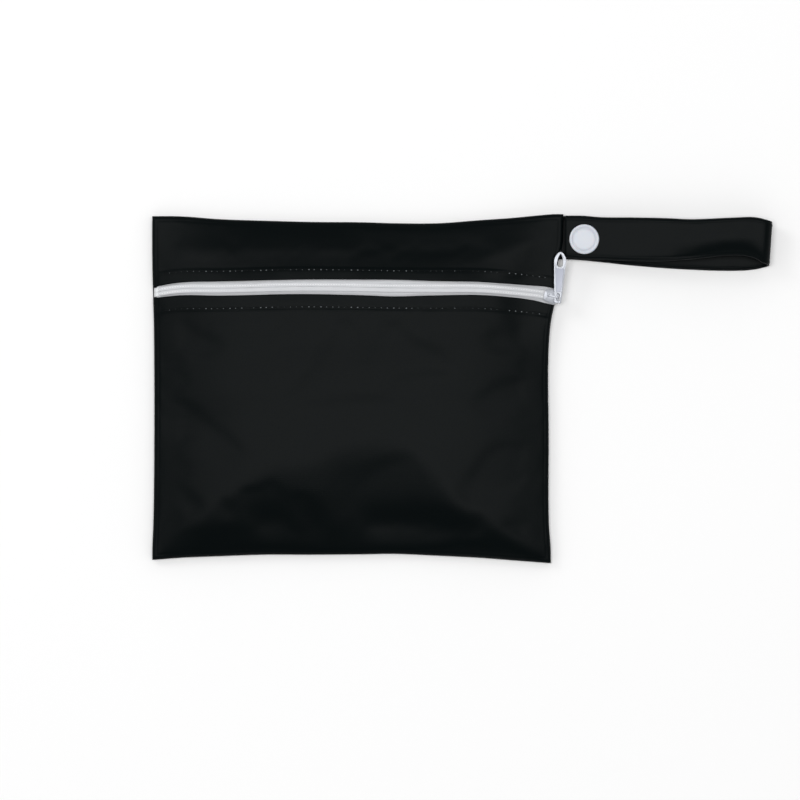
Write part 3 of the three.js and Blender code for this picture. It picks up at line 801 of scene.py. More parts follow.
@dataclass(frozen=True)
class Finish:
    """A plain surface, with a fine grain in its relief and perhaps soft patches of a second colour."""

    name: str
    colour: str
    roughness: float
    grain: float = 0.6
    relief: float = 0.1
    relief_height: float = 0.1
    mottle: str = ""
    patch: float = 9.0
    specular: float = 0.5
    metal: float = 0.0
    coat: float = 0.0
    sheen: float = 0.0
    scatter: float = 0.0
    scatter_depth: float = 0.6

    def started(self) -> tuple[bpy.types.Material, bpy.types.NodeTree, bpy.types.Node, Any]:
        """A material with its shader and its place in the object.

        Returns:
            The material, its node tree, its shader and the socket of the place.
        """
        material = bpy.data.materials.new(self.name)
        material.use_nodes = True
        tree = material.node_tree
        shader = tree.nodes["Principled BSDF"]
        shader.inputs["Base Color"].default_value = linear(self.colour)
        shader.inputs["Roughness"].default_value = self.roughness
        shader.inputs["Specular IOR Level"].default_value = self.specular
        shader.inputs["Metallic"].default_value = self.metal
        shader.inputs["Coat Weight"].default_value = self.coat
        shader.inputs["Sheen Weight"].default_value = self.sheen
        shader.inputs["Subsurface Weight"].default_value = self.scatter
        shader.inputs["Subsurface Scale"].default_value = self.scatter_depth * MM
        place = add_node(tree, "ShaderNodeTexCoord", {}, {}).outputs["Object"]
        return material, tree, shader, place

    def mottled(self, tree: bpy.types.NodeTree, shader: bpy.types.Node, place: Any) -> None:
        """Lets the colour wander to the second one, if the finish has one.

        Args:
            tree: The node tree.
            shader: Its shader.
            place: The socket of the place.
        """
        if not self.mottle:
            return
        patch = speckle(tree, place, self.patch, 3.0)
        mix = add_node(tree, "ShaderNodeMix", {"data_type": "RGBA"}, {})
        mix.inputs[6].default_value = linear(self.colour)
        mix.inputs[7].default_value = linear(self.mottle)
        tree.links.new(patch, mix.inputs[0])
        tree.links.new(mix.outputs[2], shader.inputs["Base Color"])

    def embossed(self, tree: bpy.types.NodeTree, shader: bpy.types.Node, height: Any) -> None:
        """Gives the shader the finish's relief.

        Args:
            tree: The node tree.
            shader: Its shader.
            height: The socket of the height.
        """
        settings = {"Strength": self.relief, "Distance": self.relief_height * MM}
        relief = add_node(tree, "ShaderNodeBump", settings, {"Height": height})
        tree.links.new(relief.outputs["Normal"], shader.inputs["Normal"])

    def build(self) -> bpy.types.Material:
        """The material, with its patches and its grain.

        Returns:
            The material.
        """
        material, tree, shader, place = self.started()
        self.mottled(tree, shader, place)
        self.embossed(tree, shader, speckle(tree, place, self.grain, 2.0))
        return material


@dataclass(frozen=True)
class WovenFinish(Finish):
    """A cloth with two crossing sets of threads in its relief."""

    relief_height: float = 0.12
    patch: float = 30.0
    pitch_along: float = 0.8
    pitch_across: float = 0.8
    crush: float = 6.0

    def build(self) -> bpy.types.Material:
        """The material, with its patches, its threads and a soft crush.

        Returns:
            The material.
        """
        material, tree, shader, place = self.started()
        self.mottled(tree, shader, place)
        bands = []
        for axis, pitch in (("X", self.pitch_along), ("Y", self.pitch_across)):
            settings = {
                "wave_type": "BANDS",
                "bands_direction": axis,
                "Scale": math.tau / 20 / (pitch * MM),
                "Distortion": 0.6,
                "Detail": 1.0,
                "Detail Scale": 3.0,
            }
            bands.append(add_node(tree, "ShaderNodeTexWave", settings, {"Vector": place}).outputs["Fac"])
        weave = add_node(tree, "ShaderNodeMath", {"operation": "MULTIPLY"}, {})
        tree.links.new(bands[0], weave.inputs[0])
        tree.links.new(bands[1], weave.inputs[1])
        crush = speckle(tree, place, self.crush, 4.0)
        height = add_node(tree, "ShaderNodeMath", {"operation": "ADD"}, {})
        tree.links.new(weave.outputs[0], height.inputs[0])
        tree.links.new(crush, height.inputs[1])
        self.embossed(tree, shader, height.outputs[0])
        return material


# Satin black face of the bag: even, with a low soft shine that shows the folds. The real wales are 0.4 mm
# apart and drawn twice as coarse.
KNIT = WovenFinish(
    name="black_polyester_knit_laminated_with_polyurethane",
    colour="#020607",
    mottle="#030809",
    roughness=0.42,
    relief=0.1,
    specular=0.055,
    pitch_along=0.8,
    pitch_across=1.0,
)
# Chalky pale grey weave that covers the coils in two ridges. Its real threads are finer and drawn coarser.
TAPE = WovenFinish(
    name="grey_woven_polyester_zip_tape",
    colour="#cacccf",
    mottle="#d5d6d9",
    roughness=0.85,
    relief=0.5,
    specular=0.2,
    sheen=0.1,
    pitch_along=0.9,
    pitch_across=0.6,
    patch=5.0,
)
# Slightly clear, soft shining turns of the coils, which show only beside the slider
COIL = Finish(
    name="pale_grey_extruded_nylon_monofilament",
    colour="#e2e3e6",
    roughness=0.38,
    relief=0.05,
    scatter=0.15,
)
# Dull white sewing thread along the zip's two ridges and across its blind end
CORD = Finish(
    name="white_spun_polyester_thread",
    colour="#f4f5f6",
    roughness=0.8,
    grain=0.3,
    relief=0.4,
    specular=0.2,
)
# Silver paint with metal in it on the slider and the puller's border: bright on level faces, darker in
# the hollows
ENAMEL = Finish(
    name="silver_enamelled_zinc_die_casting",
    colour="#adb0b6",
    mottle="#9ea2ab",
    roughness=0.3,
    grain=1.5,
    relief=0.1,
    metal=0.22,
    coat=0.1,
)
# Cooler and duller enamel in the puller's sunk middle
SUNK_ENAMEL = Finish(
    name="matt_enamel_in_the_sunk_field_of_zinc_die_casting",
    colour="#bdc1ce",
    mottle="#b6bac8",
    roughness=0.45,
    grain=0.8,
    relief=0.12,
)
# Milky off-white plastic of the snap
ACETAL = Finish(
    name="off_white_moulded_acetal",
    colour="#c8ccd4",
    roughness=0.36,
    grain=2.0,
    relief=0.04,
    scatter=0.1,
)
# Black sewing thread, a little duller than the cloth
BLACK_THREAD = Finish(
    name="black_spun_polyester_thread",
    colour="#060a0b",
    roughness=0.7,
    grain=0.25,
    relief=0.5,
    specular=0.08,
)
# Pale under thread that shows as small dots at the needle holes of the zip's rows
PALE_THREAD = Finish(
    name="pale_grey_spun_polyester_thread",
    colour="#666b6d",
    roughness=0.8,
    grain=0.25,
    relief=0.4,
    specular=0.2,
)
# Plain paper that the bag lies on
PAPER = Finish(
    name="white_backdrop_paper",
    colour="#fafafa",
    roughness=0.9,
    grain=1.2,
    relief=0.02,
    specular=0.1,
)


@dataclass
class Wardrobe:
    """Each finish built once."""

    built: dict[str, bpy.types.Material] = field(default_factory=dict)

    def of(self, finish: Finish) -> bpy.types.Material:
        """The finish's material, which is built when it is first asked for.

        Args:
            finish: The finish.

        Returns:
            The material.
        """
        if finish.name not in self.built:
            self.built[finish.name] = finish.build()
        return self.built[finish.name]


WARDROBE = Wardrobe()


def dress(made: bpy.types.Object, body: Body, nodes: Sequence[str] = ()) -> bpy.types.Object:
    """Ties a finished piece to its body and the nodes that it stands for.

    Args:
        made: The object.
        body: The body that it rides on.
        nodes: The nodes that it replaces.

    Returns:
        The object.
    """
    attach(made, body.value)
    if nodes:
        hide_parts(*nodes)
    triangles = sum(len(p.vertices) - 2 for p in made.data.polygons)
    log.info("%s: %d triangles before its modifiers", made.name, triangles)
    return made


# Distances in from a sewn edge, and from a folded one, where a panel's mesh is finer
RIM_PLACES = (0.25, 0.7, 1.25, 1.8, 2.3, 2.7, 3.0, 3.3, 3.8, 4.6, 5.8)
HEM_PLACES = (0.3, 0.9, 1.8, 2.8, 3.5, 4.0, 4.4, 4.8, 5.2, 5.6, 6.0, 6.4, 6.9, 7.7, 8.8)


@dataclass
class Pouch:
    """The pouch's cloth: two front panels with a slack face, and the back."""

    form: PouchForm = FORM
    step: float = 2.4
    back_step: float = 4.0
    turned_under: float = 4.0
    held_rim: float = 5.0
    held_rim_fade: float = 9.0
    held_row: float = 1.5
    held_row_fade: float = 8.0
    slack: Slack = Slack()

    def held(self, place: Vector) -> float:
        """How firmly the front is held by its seams and the zip.

        Args:
            place: A point of the front, in metres.

        Returns:
            From 0 where the cloth is slack to 1 where it is sewn.
        """
        x, y = place.x / MM, place.y / MM
        side = Side.UPPER if y > self.form.zip_line(x) else Side.LOWER
        inward = (y - self.form.stitch_line(x, side)) * side.value
        free = smooth((self.form.edge_distance(x, y) - self.held_rim) / self.held_rim_fade)
        return 1 - free * smooth((inward - self.held_row) / self.held_row_fade)

    def front_panel(self, side: Side) -> bpy.types.Object:
        """One of the two front panels.

        Args:
            side: Which side of the zip it is on.

        Returns:
            The object.
        """
        form = self.form
        upper = side is Side.UPPER
        low = (lambda x: form.zip_edge(x, Side.UPPER)) if upper else form.bottom_edge
        high = form.top_edge if upper else (lambda x: form.zip_edge(x, Side.LOWER))
        length = high(0) - low(0)
        ends = (HEM_PLACES, RIM_PLACES) if upper else (RIM_PLACES, HEM_PLACES)

        def place(across: float, up: float) -> tuple[float, float, float]:
            """A point of the outer face."""
            x, y = form.panel_place(across, up, low, high)
            return x, y, form.front_level(x, y)

        columns = stations(form.width, self.step, RIM_PLACES, RIM_PLACES)
        mesh = mapped_grid(columns, stations(length, self.step, *ends), place)
        self.slack.settle(mesh, self.held)
        thicken(mesh, CLOTH_WALL)
        node = "front_upper_panel" if upper else "front_lower_panel"
        made = made_object(f"{node}_cloth", mesh, [WARDROBE.of(KNIT)])
        soften(made)
        dress(made, Body.BAG, [node])
        return made

    def back_panel(self) -> bpy.types.Object:
        """The back panel, which lies flat and turns up to the seam.

        Returns:
            The object.
        """
        form = self.form

        def place(across: float, up: float) -> tuple[float, float, float]:
            """A point of the underside, with the panel seen from below."""
            x, y = form.panel_place(1 - across, up, form.bottom_edge, form.top_edge)
            return x, y, form.back_level(x, y)

        columns = stations(form.width, self.back_step, RIM_PLACES, RIM_PLACES)
        mesh = mapped_grid(columns, stations(form.height, self.back_step, RIM_PLACES, RIM_PLACES), place)
        thicken(mesh, CLOTH_WALL)
        made = made_object("back_panel_cloth", mesh, [WARDROBE.of(KNIT)])
        soften(made)
        dress(made, Body.BAG, ["back_panel"])
        return made

    def build(self) -> None:
        """Builds the pouch's panels."""
        self.back_panel()
        self.front_panel(Side.LOWER)
        self.front_panel(Side.UPPER)


def add_stitch(
    mesh: bmesh.types.BMesh,
    path: Callable[[float], Sequence[float]],
    middle: float,
    length: float,
    width: float,
    height: float,
) -> None:
    """Adds one stitch of thread, laid along a path.

    Args:
        mesh: The mesh that it is added to.
        path: Gives the path's point for a distance.
        middle: The distance of the stitch's middle.
        length: Its length.
        width: Its width.
        height: Its height.
    """
    run = Vector(path(middle + length / 2)) - Vector(path(middle - length / 2))
    turn = run.to_track_quat("X", "Z").to_matrix().to_4x4()
    size = Matrix.Diagonal((length / 2, width / 2, height / 2, 1))
    spot = Matrix.Scale(MM, 4) @ Matrix.Translation(path(middle)) @ turn @ size
    bmesh.ops.create_uvsphere(mesh, u_segments=8, v_segments=6, radius=1, matrix=spot)


@dataclass
class StitchRow:
    """A row of lock stitches in sewing thread, and the under thread that shows at its needle holes."""

    name: str
    path: Callable[[float], tuple[float, float, float]]
    start: float
    end: float
    pitch: float = 2.8
    length: float = 2.2
    thread: float = 0.3
    dot: float = 0.52
    patch_pace: float = 0.23
    patch_seed: tuple[float, float] = (3.3, 1.1)
    single_pace: float = 1.7
    single_seed: tuple[float, float] = (0.4, 4.2)

    @property
    def count(self) -> int:
        """How many stitches the row has."""
        return int((self.end - self.start) / self.pitch)

    def build(self) -> None:
        """Builds the stitches along the row's path."""
        mesh = bmesh.new()
        for i in range(self.count):
            middle = self.start + (i + 0.5) * self.pitch
            add_stitch(mesh, self.path, middle, self.length, self.thread, self.thread)
        made = made_object(f"{self.name}_stitches", mesh, [WARDROBE.of(BLACK_THREAD)])
        dress(made, Body.BAG)

    def build_under_thread(self) -> None:
        """Builds the pale dots at the needle holes, large in some patches and small in others."""
        mesh = bmesh.new()
        for i in range(self.count):
            patch = noise.noise(Vector((i * self.patch_pace, *self.patch_seed)))
            single = noise.noise(Vector((i * self.single_pace, *self.single_seed)))
            size = self.dot * limit(0.45 + 1.1 * patch + 0.9 * single, 0.1, 1.0)
            hole = self.start + (i + 1 + 0.2 * single) * self.pitch
            add_stitch(mesh, self.path, hole, 1.3 * size, size, 0.6 * size)
        made = made_object(f"{self.name}_under_thread", mesh, [WARDROBE.of(PALE_THREAD)])
        dress(made, Body.BAG)


# Distances from the middle line, and from the blind end, where a tape's mesh is finer
RIDGE_PLACES = (0.08, 0.25, 0.5, 0.8, 1.1, 1.4, 1.65, 1.85, 2.0, 2.15, 2.4, 2.8, 3.2)
END_PLACES = (0.3, 0.8, 1.4, 2.0)


@dataclass
class CoilZip:
    """The closed zip, worn coils inward: two woven tapes that cover the interlocked coils sewn under them."""

    form: PouchForm = FORM
    tape_width: float = 10.5
    tape_wall: float = 0.3
    tape_split: float = 0.08
    tape_drop: float = 0.5
    tape_end: float = 0.7
    tape_lie: float = 0.45
    ridge_middle: float = 1.05
    ridge_inner: float = 1.6
    ridge_outer: float = 1.15
    ridge_height: float = 1.5
    pitch: float = 1.2
    wire: float = 0.42
    coil_outer: float = 1.75
    coil_inner: float = -0.12
    coil_half_height: float = 0.3
    coil_middle: float = 0.6
    end_inset: float = 0.7
    coil_inset: float = 3.0
    post_share: float = 0.2
    mouth_fade: float = 3.0
    under_hem: float = 0.9
    under_hem_fade: float = 1.1
    parting: float = 1.0
    parting_run: float = 1.4
    covered_run: float = 1.2
    narrow_share: float = 0.4
    cord_inset: float = 2.2
    cord_sink: float = 0.02
    cord_share: float = 0.96
    cord_width: float = 0.32
    cord_height: float = 0.18
    tacks: int = 6
    tack_first: float = 0.2
    tack_pitch: float = 0.34
    tack_inset: float = 1.3
    tack_stagger: float = 0.4
    tack_length: float = 1.5
    tack_thread: float = 0.3
    row_inset: float = 5.0
    row_lift: float = 0.06
    row_end: float = 90.0

    @property
    def start(self) -> float:
        """Where the coils begin at the blind end."""
        return self.form.plain_edge(self.form.zip_height) + self.end_inset

    @property
    def end(self) -> float:
        """Where the coils meet the slider's post."""
        return self.form.slider_x + self.form.slider_length * self.post_share - FIT_GAP

    @property
    def mouth(self) -> float:
        """Where the coils go into the slider."""
        return self.form.slider_x - self.form.slider_length / 2

    def base(self, x: float) -> float:
        """The level that the coils stand on."""
        return self.form.front_face(x, self.form.zip_line(x)) - CLOTH_WALL

    def ridge(self, offset: float) -> float:
        """The tape's height over a coil.

        Args:
            offset: The distance from the zip's middle line.

        Returns:
            The height in millimetres.
        """
        half = self.ridge_outer if offset > self.ridge_middle else self.ridge_inner
        share = limit(abs(offset - self.ridge_middle) / half, 0.0, 1.0)
        return self.ridge_height * math.sqrt(1 - share**4)

    def face(self, x: float, offset: float) -> float:
        """The tape's face above the coils' base.

        Args:
            x: The place along the zip.
            offset: The distance from the zip's middle line.

        Returns:
            The height in millimetres.
        """
        form = self.form
        away = smooth((self.mouth - x) / self.mouth_fade)
        under = smooth((offset - form.zip_half_opening(x) + self.under_hem) / self.under_hem_fade)
        lie = blend(-FIT_GAP, self.tape_lie, away * (1 - under))
        drop = self.tape_drop * smooth((offset - form.slider_width / 2) / (self.tape_width / 3))
        covered = 1 - smooth((x - self.end) / self.covered_run + 1)
        return max(self.ridge(offset) * covered, lie) - drop

    def level(self, x: float, offset: float, side: Side) -> float:
        """The tape's face above the table, which runs down into the side seam at the blind end.

        Args:
            x: The place along the zip.
            offset: The distance from the zip's middle line.
            side: Which side of the zip it is on.

        Returns:
            The height in millimetres.
        """
        plain = self.form.front_face(x, self.form.zip_line(x) + side.value * offset) - CLOTH_WALL
        near = (x - self.start) / (self.form.rim_radius + 1)
        return blend(self.form.seam_level + FIT_GAP, plain + self.face(x, offset), quarter_round(near))

    def tape(self, side: Side) -> bpy.types.Object:
        """One tape, which narrows into the side seam at its blind end.

        Args:
            side: Which side of the zip it is on.

        Returns:
            The object.
        """
        form = self.form

        def place(along: float, across: float) -> tuple[float, float, float]:
            """A point of the tape's face, for a share along it and a share across it."""
            x = blend(self.start, form.loop_edge(form.zip_height - form.zip_droop) - self.tape_end, along)
            split = blend(self.tape_split / 2, self.parting, smooth((x - self.end) / self.parting_run + 1))
            near = (x - self.start) / (form.rim_radius + 1)
            far = (form.loop_edge(form.zip_line(x)) - self.tape_end - x) / (form.rim_radius + 1)
            wide = smooth(min(near, far) - self.narrow_share)
            reach = blend(form.zip_half_opening(x) - FIT_GAP, self.tape_width, wide)
            offset = blend(split, reach, across)
            return x, form.zip_line(x) + side.value * offset, self.level(x, offset, side)

        across = stations(self.tape_width, 0.9, RIDGE_PLACES)
        if side is Side.LOWER:
            across = across[::-1]
        mesh = mapped_grid(stations(form.width, 1.2, END_PLACES, END_PLACES[:2]), across, place)
        thicken(mesh, self.tape_wall)
        node = "zip_tape_upper" if side is Side.UPPER else "zip_tape_lower"
        made = made_object(f"{node}_weave", mesh, [WARDROBE.of(TAPE)])
        dress(made, Body.BAG, [node])
        return made

    def coil(self, side: Side) -> bpy.types.Object:
        """One coil of nylon monofilament, half a turn out of step with the other.

        Args:
            side: Which side of the zip it is on.

        Returns:
            The object.
        """
        steps, sides = 10, 6
        radius = (self.coil_outer - self.coil_inner) / 2
        centre = (self.coil_outer + self.coil_inner) / 2
        turns = int((self.end - self.start - self.coil_inset) / self.pitch) - 1
        mesh = bmesh.new()
        spot = Matrix.Translation((0, radius, 0))
        ring = bmesh.ops.create_circle(
            mesh, cap_ends=False, segments=sides, radius=self.wire / 2, matrix=spot
        )
        edges = list({edge for vert in ring["verts"] for edge in vert.link_edges})
        bmesh.ops.spin(
            mesh,
            geom=[*ring["verts"], *edges],
            cent=(0, 0, 0),
            axis=(1, 0, 0),
            dvec=(self.pitch / steps, 0, 0),
            angle=math.tau * turns,
            steps=steps * turns,
        )
        bmesh.ops.holes_fill(mesh, edges=[edge for edge in mesh.edges if edge.is_boundary], sides=sides)
        flatten = (self.coil_half_height + self.wire / 2) / (radius + self.wire / 2)
        shift = self.coil_inset + (self.pitch / 2 if side is Side.LOWER else 0)
        for vert in mesh.verts:
            x = self.start + shift + vert.co.x
            y = self.form.zip_line(x) + side.value * (centre + vert.co.y)
            vert.co = Vector((x, y, self.base(x) + self.coil_middle + vert.co.z * flatten)) * MM
        made = made_object(f"zip_coil_{side.name.lower()}", mesh, [WARDROBE.of(COIL)])
        return dress(made, Body.BAG, ["zip_chain"] if side is Side.UPPER else [])

    def sewing(self, side: Side) -> bpy.types.Object:
        """The chain stitches that hold a coil under its tape, and the tacks across the blind end.

        Args:
            side: Which side of the zip they are on.

        Returns:
            The object.
        """
        mesh = bmesh.new()
        for i in range(int((self.mouth - self.start) / self.pitch) - 2):
            x = self.start + self.cord_inset + (i + 0.5) * self.pitch
            y = self.form.zip_line(x) + side.value * self.ridge_middle
            top = self.base(x) + self.ridge_height - self.cord_sink
            long = self.cord_share * self.pitch
            size = Matrix.Diagonal((long / 2, self.cord_width / 2, self.cord_height / 2, 1))
            spot = Matrix.Scale(MM, 4) @ Matrix.Translation((x, y, top)) @ size
            bmesh.ops.create_uvsphere(mesh, u_segments=6, v_segments=5, radius=1, matrix=spot)
        for i in range(self.tacks):
            offset = self.tack_first + i * self.tack_pitch

            def lie(x: float, across: float = offset) -> tuple[float, float, float]:
                """A point of the tape's face beside the seam."""
                return x, self.form.zip_line(x) + side.value * across, self.level(x, across, side)

            middle = self.start + self.tack_inset + self.tack_stagger * (i % 2)
            add_stitch(mesh, lie, middle, self.tack_length, self.tack_thread, self.tack_thread)
        made = made_object(f"zip_sewing_{side.name.lower()}", mesh, [WARDROBE.of(CORD)])
        return dress(made, Body.BAG)

    def build(self) -> None:
        """Builds the zip, and the rows that sew it to the front."""
        for side in Side:
            self.tape(side)
            self.coil(side)
            self.sewing(side)

            def path(x: float, row: Side = side) -> tuple[float, float, float]:
                """A point of the row of stitches."""
                y = self.form.stitch_line(x, row)
                return x, y, self.form.front_level(x, y) + self.row_lift

            row = StitchRow(
                name=f"zip_row_{side.name.lower()}",
                path=path,
                start=self.form.plain_edge(self.form.zip_height) + self.row_inset,
                end=self.form.loop_edge(self.form.stitch_line(self.row_end, side)) - self.row_inset,
            )
            row.build()
            row.build_under_thread()


@dataclass
class Slider:
    """The zip's cast slider with its bridge, and the puller that hangs on it."""

    body_rounding: float = 0.14
    puller_rounding: float = 0.16
    segments: int = 2
    rounded_above: float = 35.0
    sharp_above: float = 50.0
    merge: float = 0.005
    flat_within: float = 1.5
    field_area: float = 25.0
    field_corners: int = 40

    def rounded(self, node: str, width: float) -> bmesh.types.BMesh:
        """A clean copy of a casting's mesh with rounded edges.

        Args:
            node: The node.
            width: The rounding in millimetres.

        Returns:
            The mesh.
        """
        mesh = bmesh.new()
        mesh.from_mesh(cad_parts[node].data)
        bmesh.ops.remove_doubles(mesh, verts=mesh.verts[:], dist=self.merge * MM)
        bmesh.ops.recalc_face_normals(mesh, faces=mesh.faces[:])
        limit_angle = math.radians(self.flat_within)
        bmesh.ops.dissolve_limit(mesh, angle_limit=limit_angle, verts=mesh.verts[:], edges=mesh.edges[:])
        least = math.radians(self.rounded_above)
        bmesh.ops.bevel(
            mesh,
            geom=[edge for edge in mesh.edges if edge.is_manifold and abs(edge.calc_face_angle(0)) > least],
            offset=width * MM,
            offset_type="OFFSET",
            affect="EDGES",
            segments=self.segments,
            profile=0.5,
            material=-1,
            clamp_overlap=True,
        )
        return mesh

    def body(self) -> bpy.types.Object:
        """The slider.

        Returns:
            The object.
        """
        mesh = self.rounded("zip_slider", self.body_rounding)
        made = made_object("zip_slider_casting", mesh, [WARDROBE.of(ENAMEL)])
        sharpen(made, self.sharp_above)
        return dress(made, Body.BAG, ["zip_slider"])

    def puller(self) -> bpy.types.Object:
        """The puller, whose sunk fields have their own paint.

        Returns:
            The object.
        """
        mesh = self.rounded("zip_puller", self.puller_rounding)
        for face in mesh.faces:
            broad = face.calc_area() > self.field_area * MM * MM
            face.material_index = int(broad and len(face.verts) < self.field_corners)
        made = made_object("zip_puller_casting", mesh, [WARDROBE.of(ENAMEL), WARDROBE.of(SUNK_ENAMEL)])
        sharpen(made, self.sharp_above)
        return dress(made, Body.PULLER, ["zip_puller"])

    def build(self) -> None:
        """Builds the slider and its puller."""
        self.body()
        self.puller()


# Shares of half the strap's width, in from its edge, where its mesh is finer
EDGE_SHARES = (0.03, 0.07, 0.1, 0.13, 0.16, 0.19, 0.23)


@dataclass
class CarryingLoop:
    """The strap, sewn into the side seam, folded over at its far end and snapped onto itself."""

    form: PouchForm = FORM
    width: float = 20.2
    reach: float = 95.7
    sewn_length: float = 6.4
    opening: float = 6.2
    end_gap: float = 0.5
    fold_skew: float = 0.7
    edge_curl: float = 3.0
    table_gap: float = 0.3
    snap_across: float = 9.3
    snap_radius: float = 6.85
    socket_radius: float = 4.4
    low_cloth: float = 1.7
    high_cloth: float = 5.8
    ripple: float = 0.22
    ripple_wave: Wave = Wave(7.0, 1 / 1.3, 9.0)
    ripple_middle: float = 0.4
    flat_fold: float = 2.0
    flat_fold_fade: float = 8.0
    flat_seam: float = 1 / 8
    snap_along: float = 0.097
    snap_fade: float = 0.08
    edge_row: float = 0.84
    edge_row_width: float = 0.04
    edge_swell: float = 0.94
    edge_swell_width: float = 0.06
    edge_swell_share: float = 0.6
    edge_press: float = 0.14
    edge_inset: float = 2.0
    edge_pitch: float = 3.0
    edge_stitch: float = 2.5

    def __post_init__(self) -> None:
        """Reads the tables and the bag's corner once."""
        self.corner = self.form.loop_edge(self.form.height / 2)
        self.rest_middle = self.table_gap + CLOTH_WALL / 2
        self.top = self.rest_middle + CLOTH_WALL + self.opening
        self.fold_radius = (self.top - self.rest_middle) / 2
        self.fold_x = self.corner + self.reach - self.fold_radius - CLOTH_WALL / 2
        self.lower = {c: Curve.of(LOWER_ROWS, "along", c) for c in ("middle", "width")}
        self.upper = {c: Curve.of(UPPER_ROWS, "along", c) for c in ("middle", "width", "rise", "curl")}

    def along(self, x: float) -> float:
        """A place as a share of the loop's reach."""
        return (x - self.corner) / self.reach

    def lower_level(self, x: float) -> float:
        """The middle of the lower layer, which comes down from the seam and again behind the snap.

        Args:
            x: The place along the loop.

        Returns:
            The height above the table in millimetres.
        """
        seam = self.form.seam_level + FIT_GAP / 2 + CLOTH_WALL / 2
        snap = self.corner + self.snap_across
        to_snap = smooth((x - self.corner) / (self.snap_across - self.socket_radius))
        level = blend(seam, self.low_cloth + CLOTH_WALL / 2, to_snap)
        return blend(level, self.rest_middle, smooth((x - snap - self.snap_radius) / (2 * self.snap_radius)))

    def section(self, path: float) -> tuple[float, float, float, float, float, float, float]:
        """The strap's middle and shape at a distance from its sewn end.

        Args:
            path: The distance, measured flat.

        Returns:
            Place x and z, the angle it faces, middle, width and curl as shares, and the share of the reach.
        """
        lower = self.fold_x - self.start
        turn = math.pi * self.fold_radius
        if path <= lower:
            x = self.start + path
            a = self.along(x)
            return x, self.lower_level(x), 0.0, self.lower["middle"].at(a), self.lower["width"].at(a), 0.0, a
        if path <= lower + turn:
            share = (path - lower) / turn
            angle = math.pi * share
            x = self.fold_x + self.fold_radius * math.sin(angle)
            z = self.rest_middle + self.fold_radius * (1 - math.cos(angle))
            end = UPPER_ROWS[-1]
            middle = blend(LOWER_ROWS[-1].middle, end.middle, share)
            return x, z, angle, middle, blend(1.0, end.width, share), end.curl * share, 1.0
        x = self.fold_x - (path - lower - turn)
        a = self.along(x)
        z = blend(self.high_cloth + CLOTH_WALL / 2, self.top, self.upper["rise"].at(a))
        curve = {c: self.upper[c].at(a) for c in self.upper}
        return x, z, math.pi, curve["middle"], curve["width"], curve["curl"], a

    @property
    def start(self) -> float:
        """The strap's sewn end."""
        return self.form.loop_edge(self.form.strap_rise) - self.sewn_length

    @property
    def length(self) -> float:
        """The strap's flat length."""
        upper = self.fold_x - self.corner - self.end_gap
        return self.fold_x - self.start + math.pi * self.fold_radius + upper

    def point(self, path: float, across: float, side: float) -> tuple[float, float, float]:
        """A point of the strap.

        Args:
            path: Distance from the sewn end.
            across: From -1 to 1 across the strap.
            side: 1 on the face outside the loop's lower layer, -1 on the other.

        Returns:
            The place in millimetres.
        """
        x, z, facing, middle, width, curl, along = self.section(path)
        sink = max(0.0, -across)
        lift = curl * self.edge_curl * sink * sink
        near = smooth((abs(path - self.length / 2) - self.flat_fold) / self.flat_fold_fade)
        near *= smooth(along / self.flat_seam) * (1 - bump(along - self.snap_along, self.snap_fade))
        wave = self.ripple_wave.at(path, across) * blend(self.ripple_middle, 1.0, across * across)
        row = bump(abs(across) - self.edge_row, self.edge_row_width)
        swell = self.edge_swell_share * bump(abs(across) - self.edge_swell, self.edge_swell_width)
        offset = side * (CLOTH_WALL / 2 - self.edge_press * (row - swell)) + self.ripple * wave * near
        return (
            x + self.fold_skew * across * smooth(along) - offset * math.sin(facing),
            self.form.strap_rise + self.width * (middle + width * across / 2),
            z + lift + offset * math.cos(facing),
        )

    def build(self) -> None:
        """Builds the strap and the stitches along its edges."""
        columns = stations(self.length, 1.4)
        rows = stations(2, 0.16, EDGE_SHARES, EDGE_SHARES)
        mesh = mapped_grid(columns, rows, lambda a, b: self.point(a * self.length, 2 * b - 1, 1.0))
        thicken(mesh, CLOTH_WALL)
        made = made_object("carrying_strap_cloth", mesh, [WARDROBE.of(KNIT)])
        soften(made)
        dress(made, Body.BAG, ["carrying_strap"])
        self.length * MM
        for side in (Side.LOWER, Side.UPPER):

            def path(place: float, row: float = side.value * self.edge_row) -> tuple[float, float, float]:
                """A point of the row on the face that shows."""
                return self.point(place, row, -1.0)

            StitchRow(
                name="strap_edge_far" if side is Side.UPPER else "strap_edge_near",
                path=path,
                start=self.sewn_length + self.edge_inset,
                end=self.length - self.edge_inset,
                pitch=self.edge_pitch,
                length=self.edge_stitch,
            ).build()


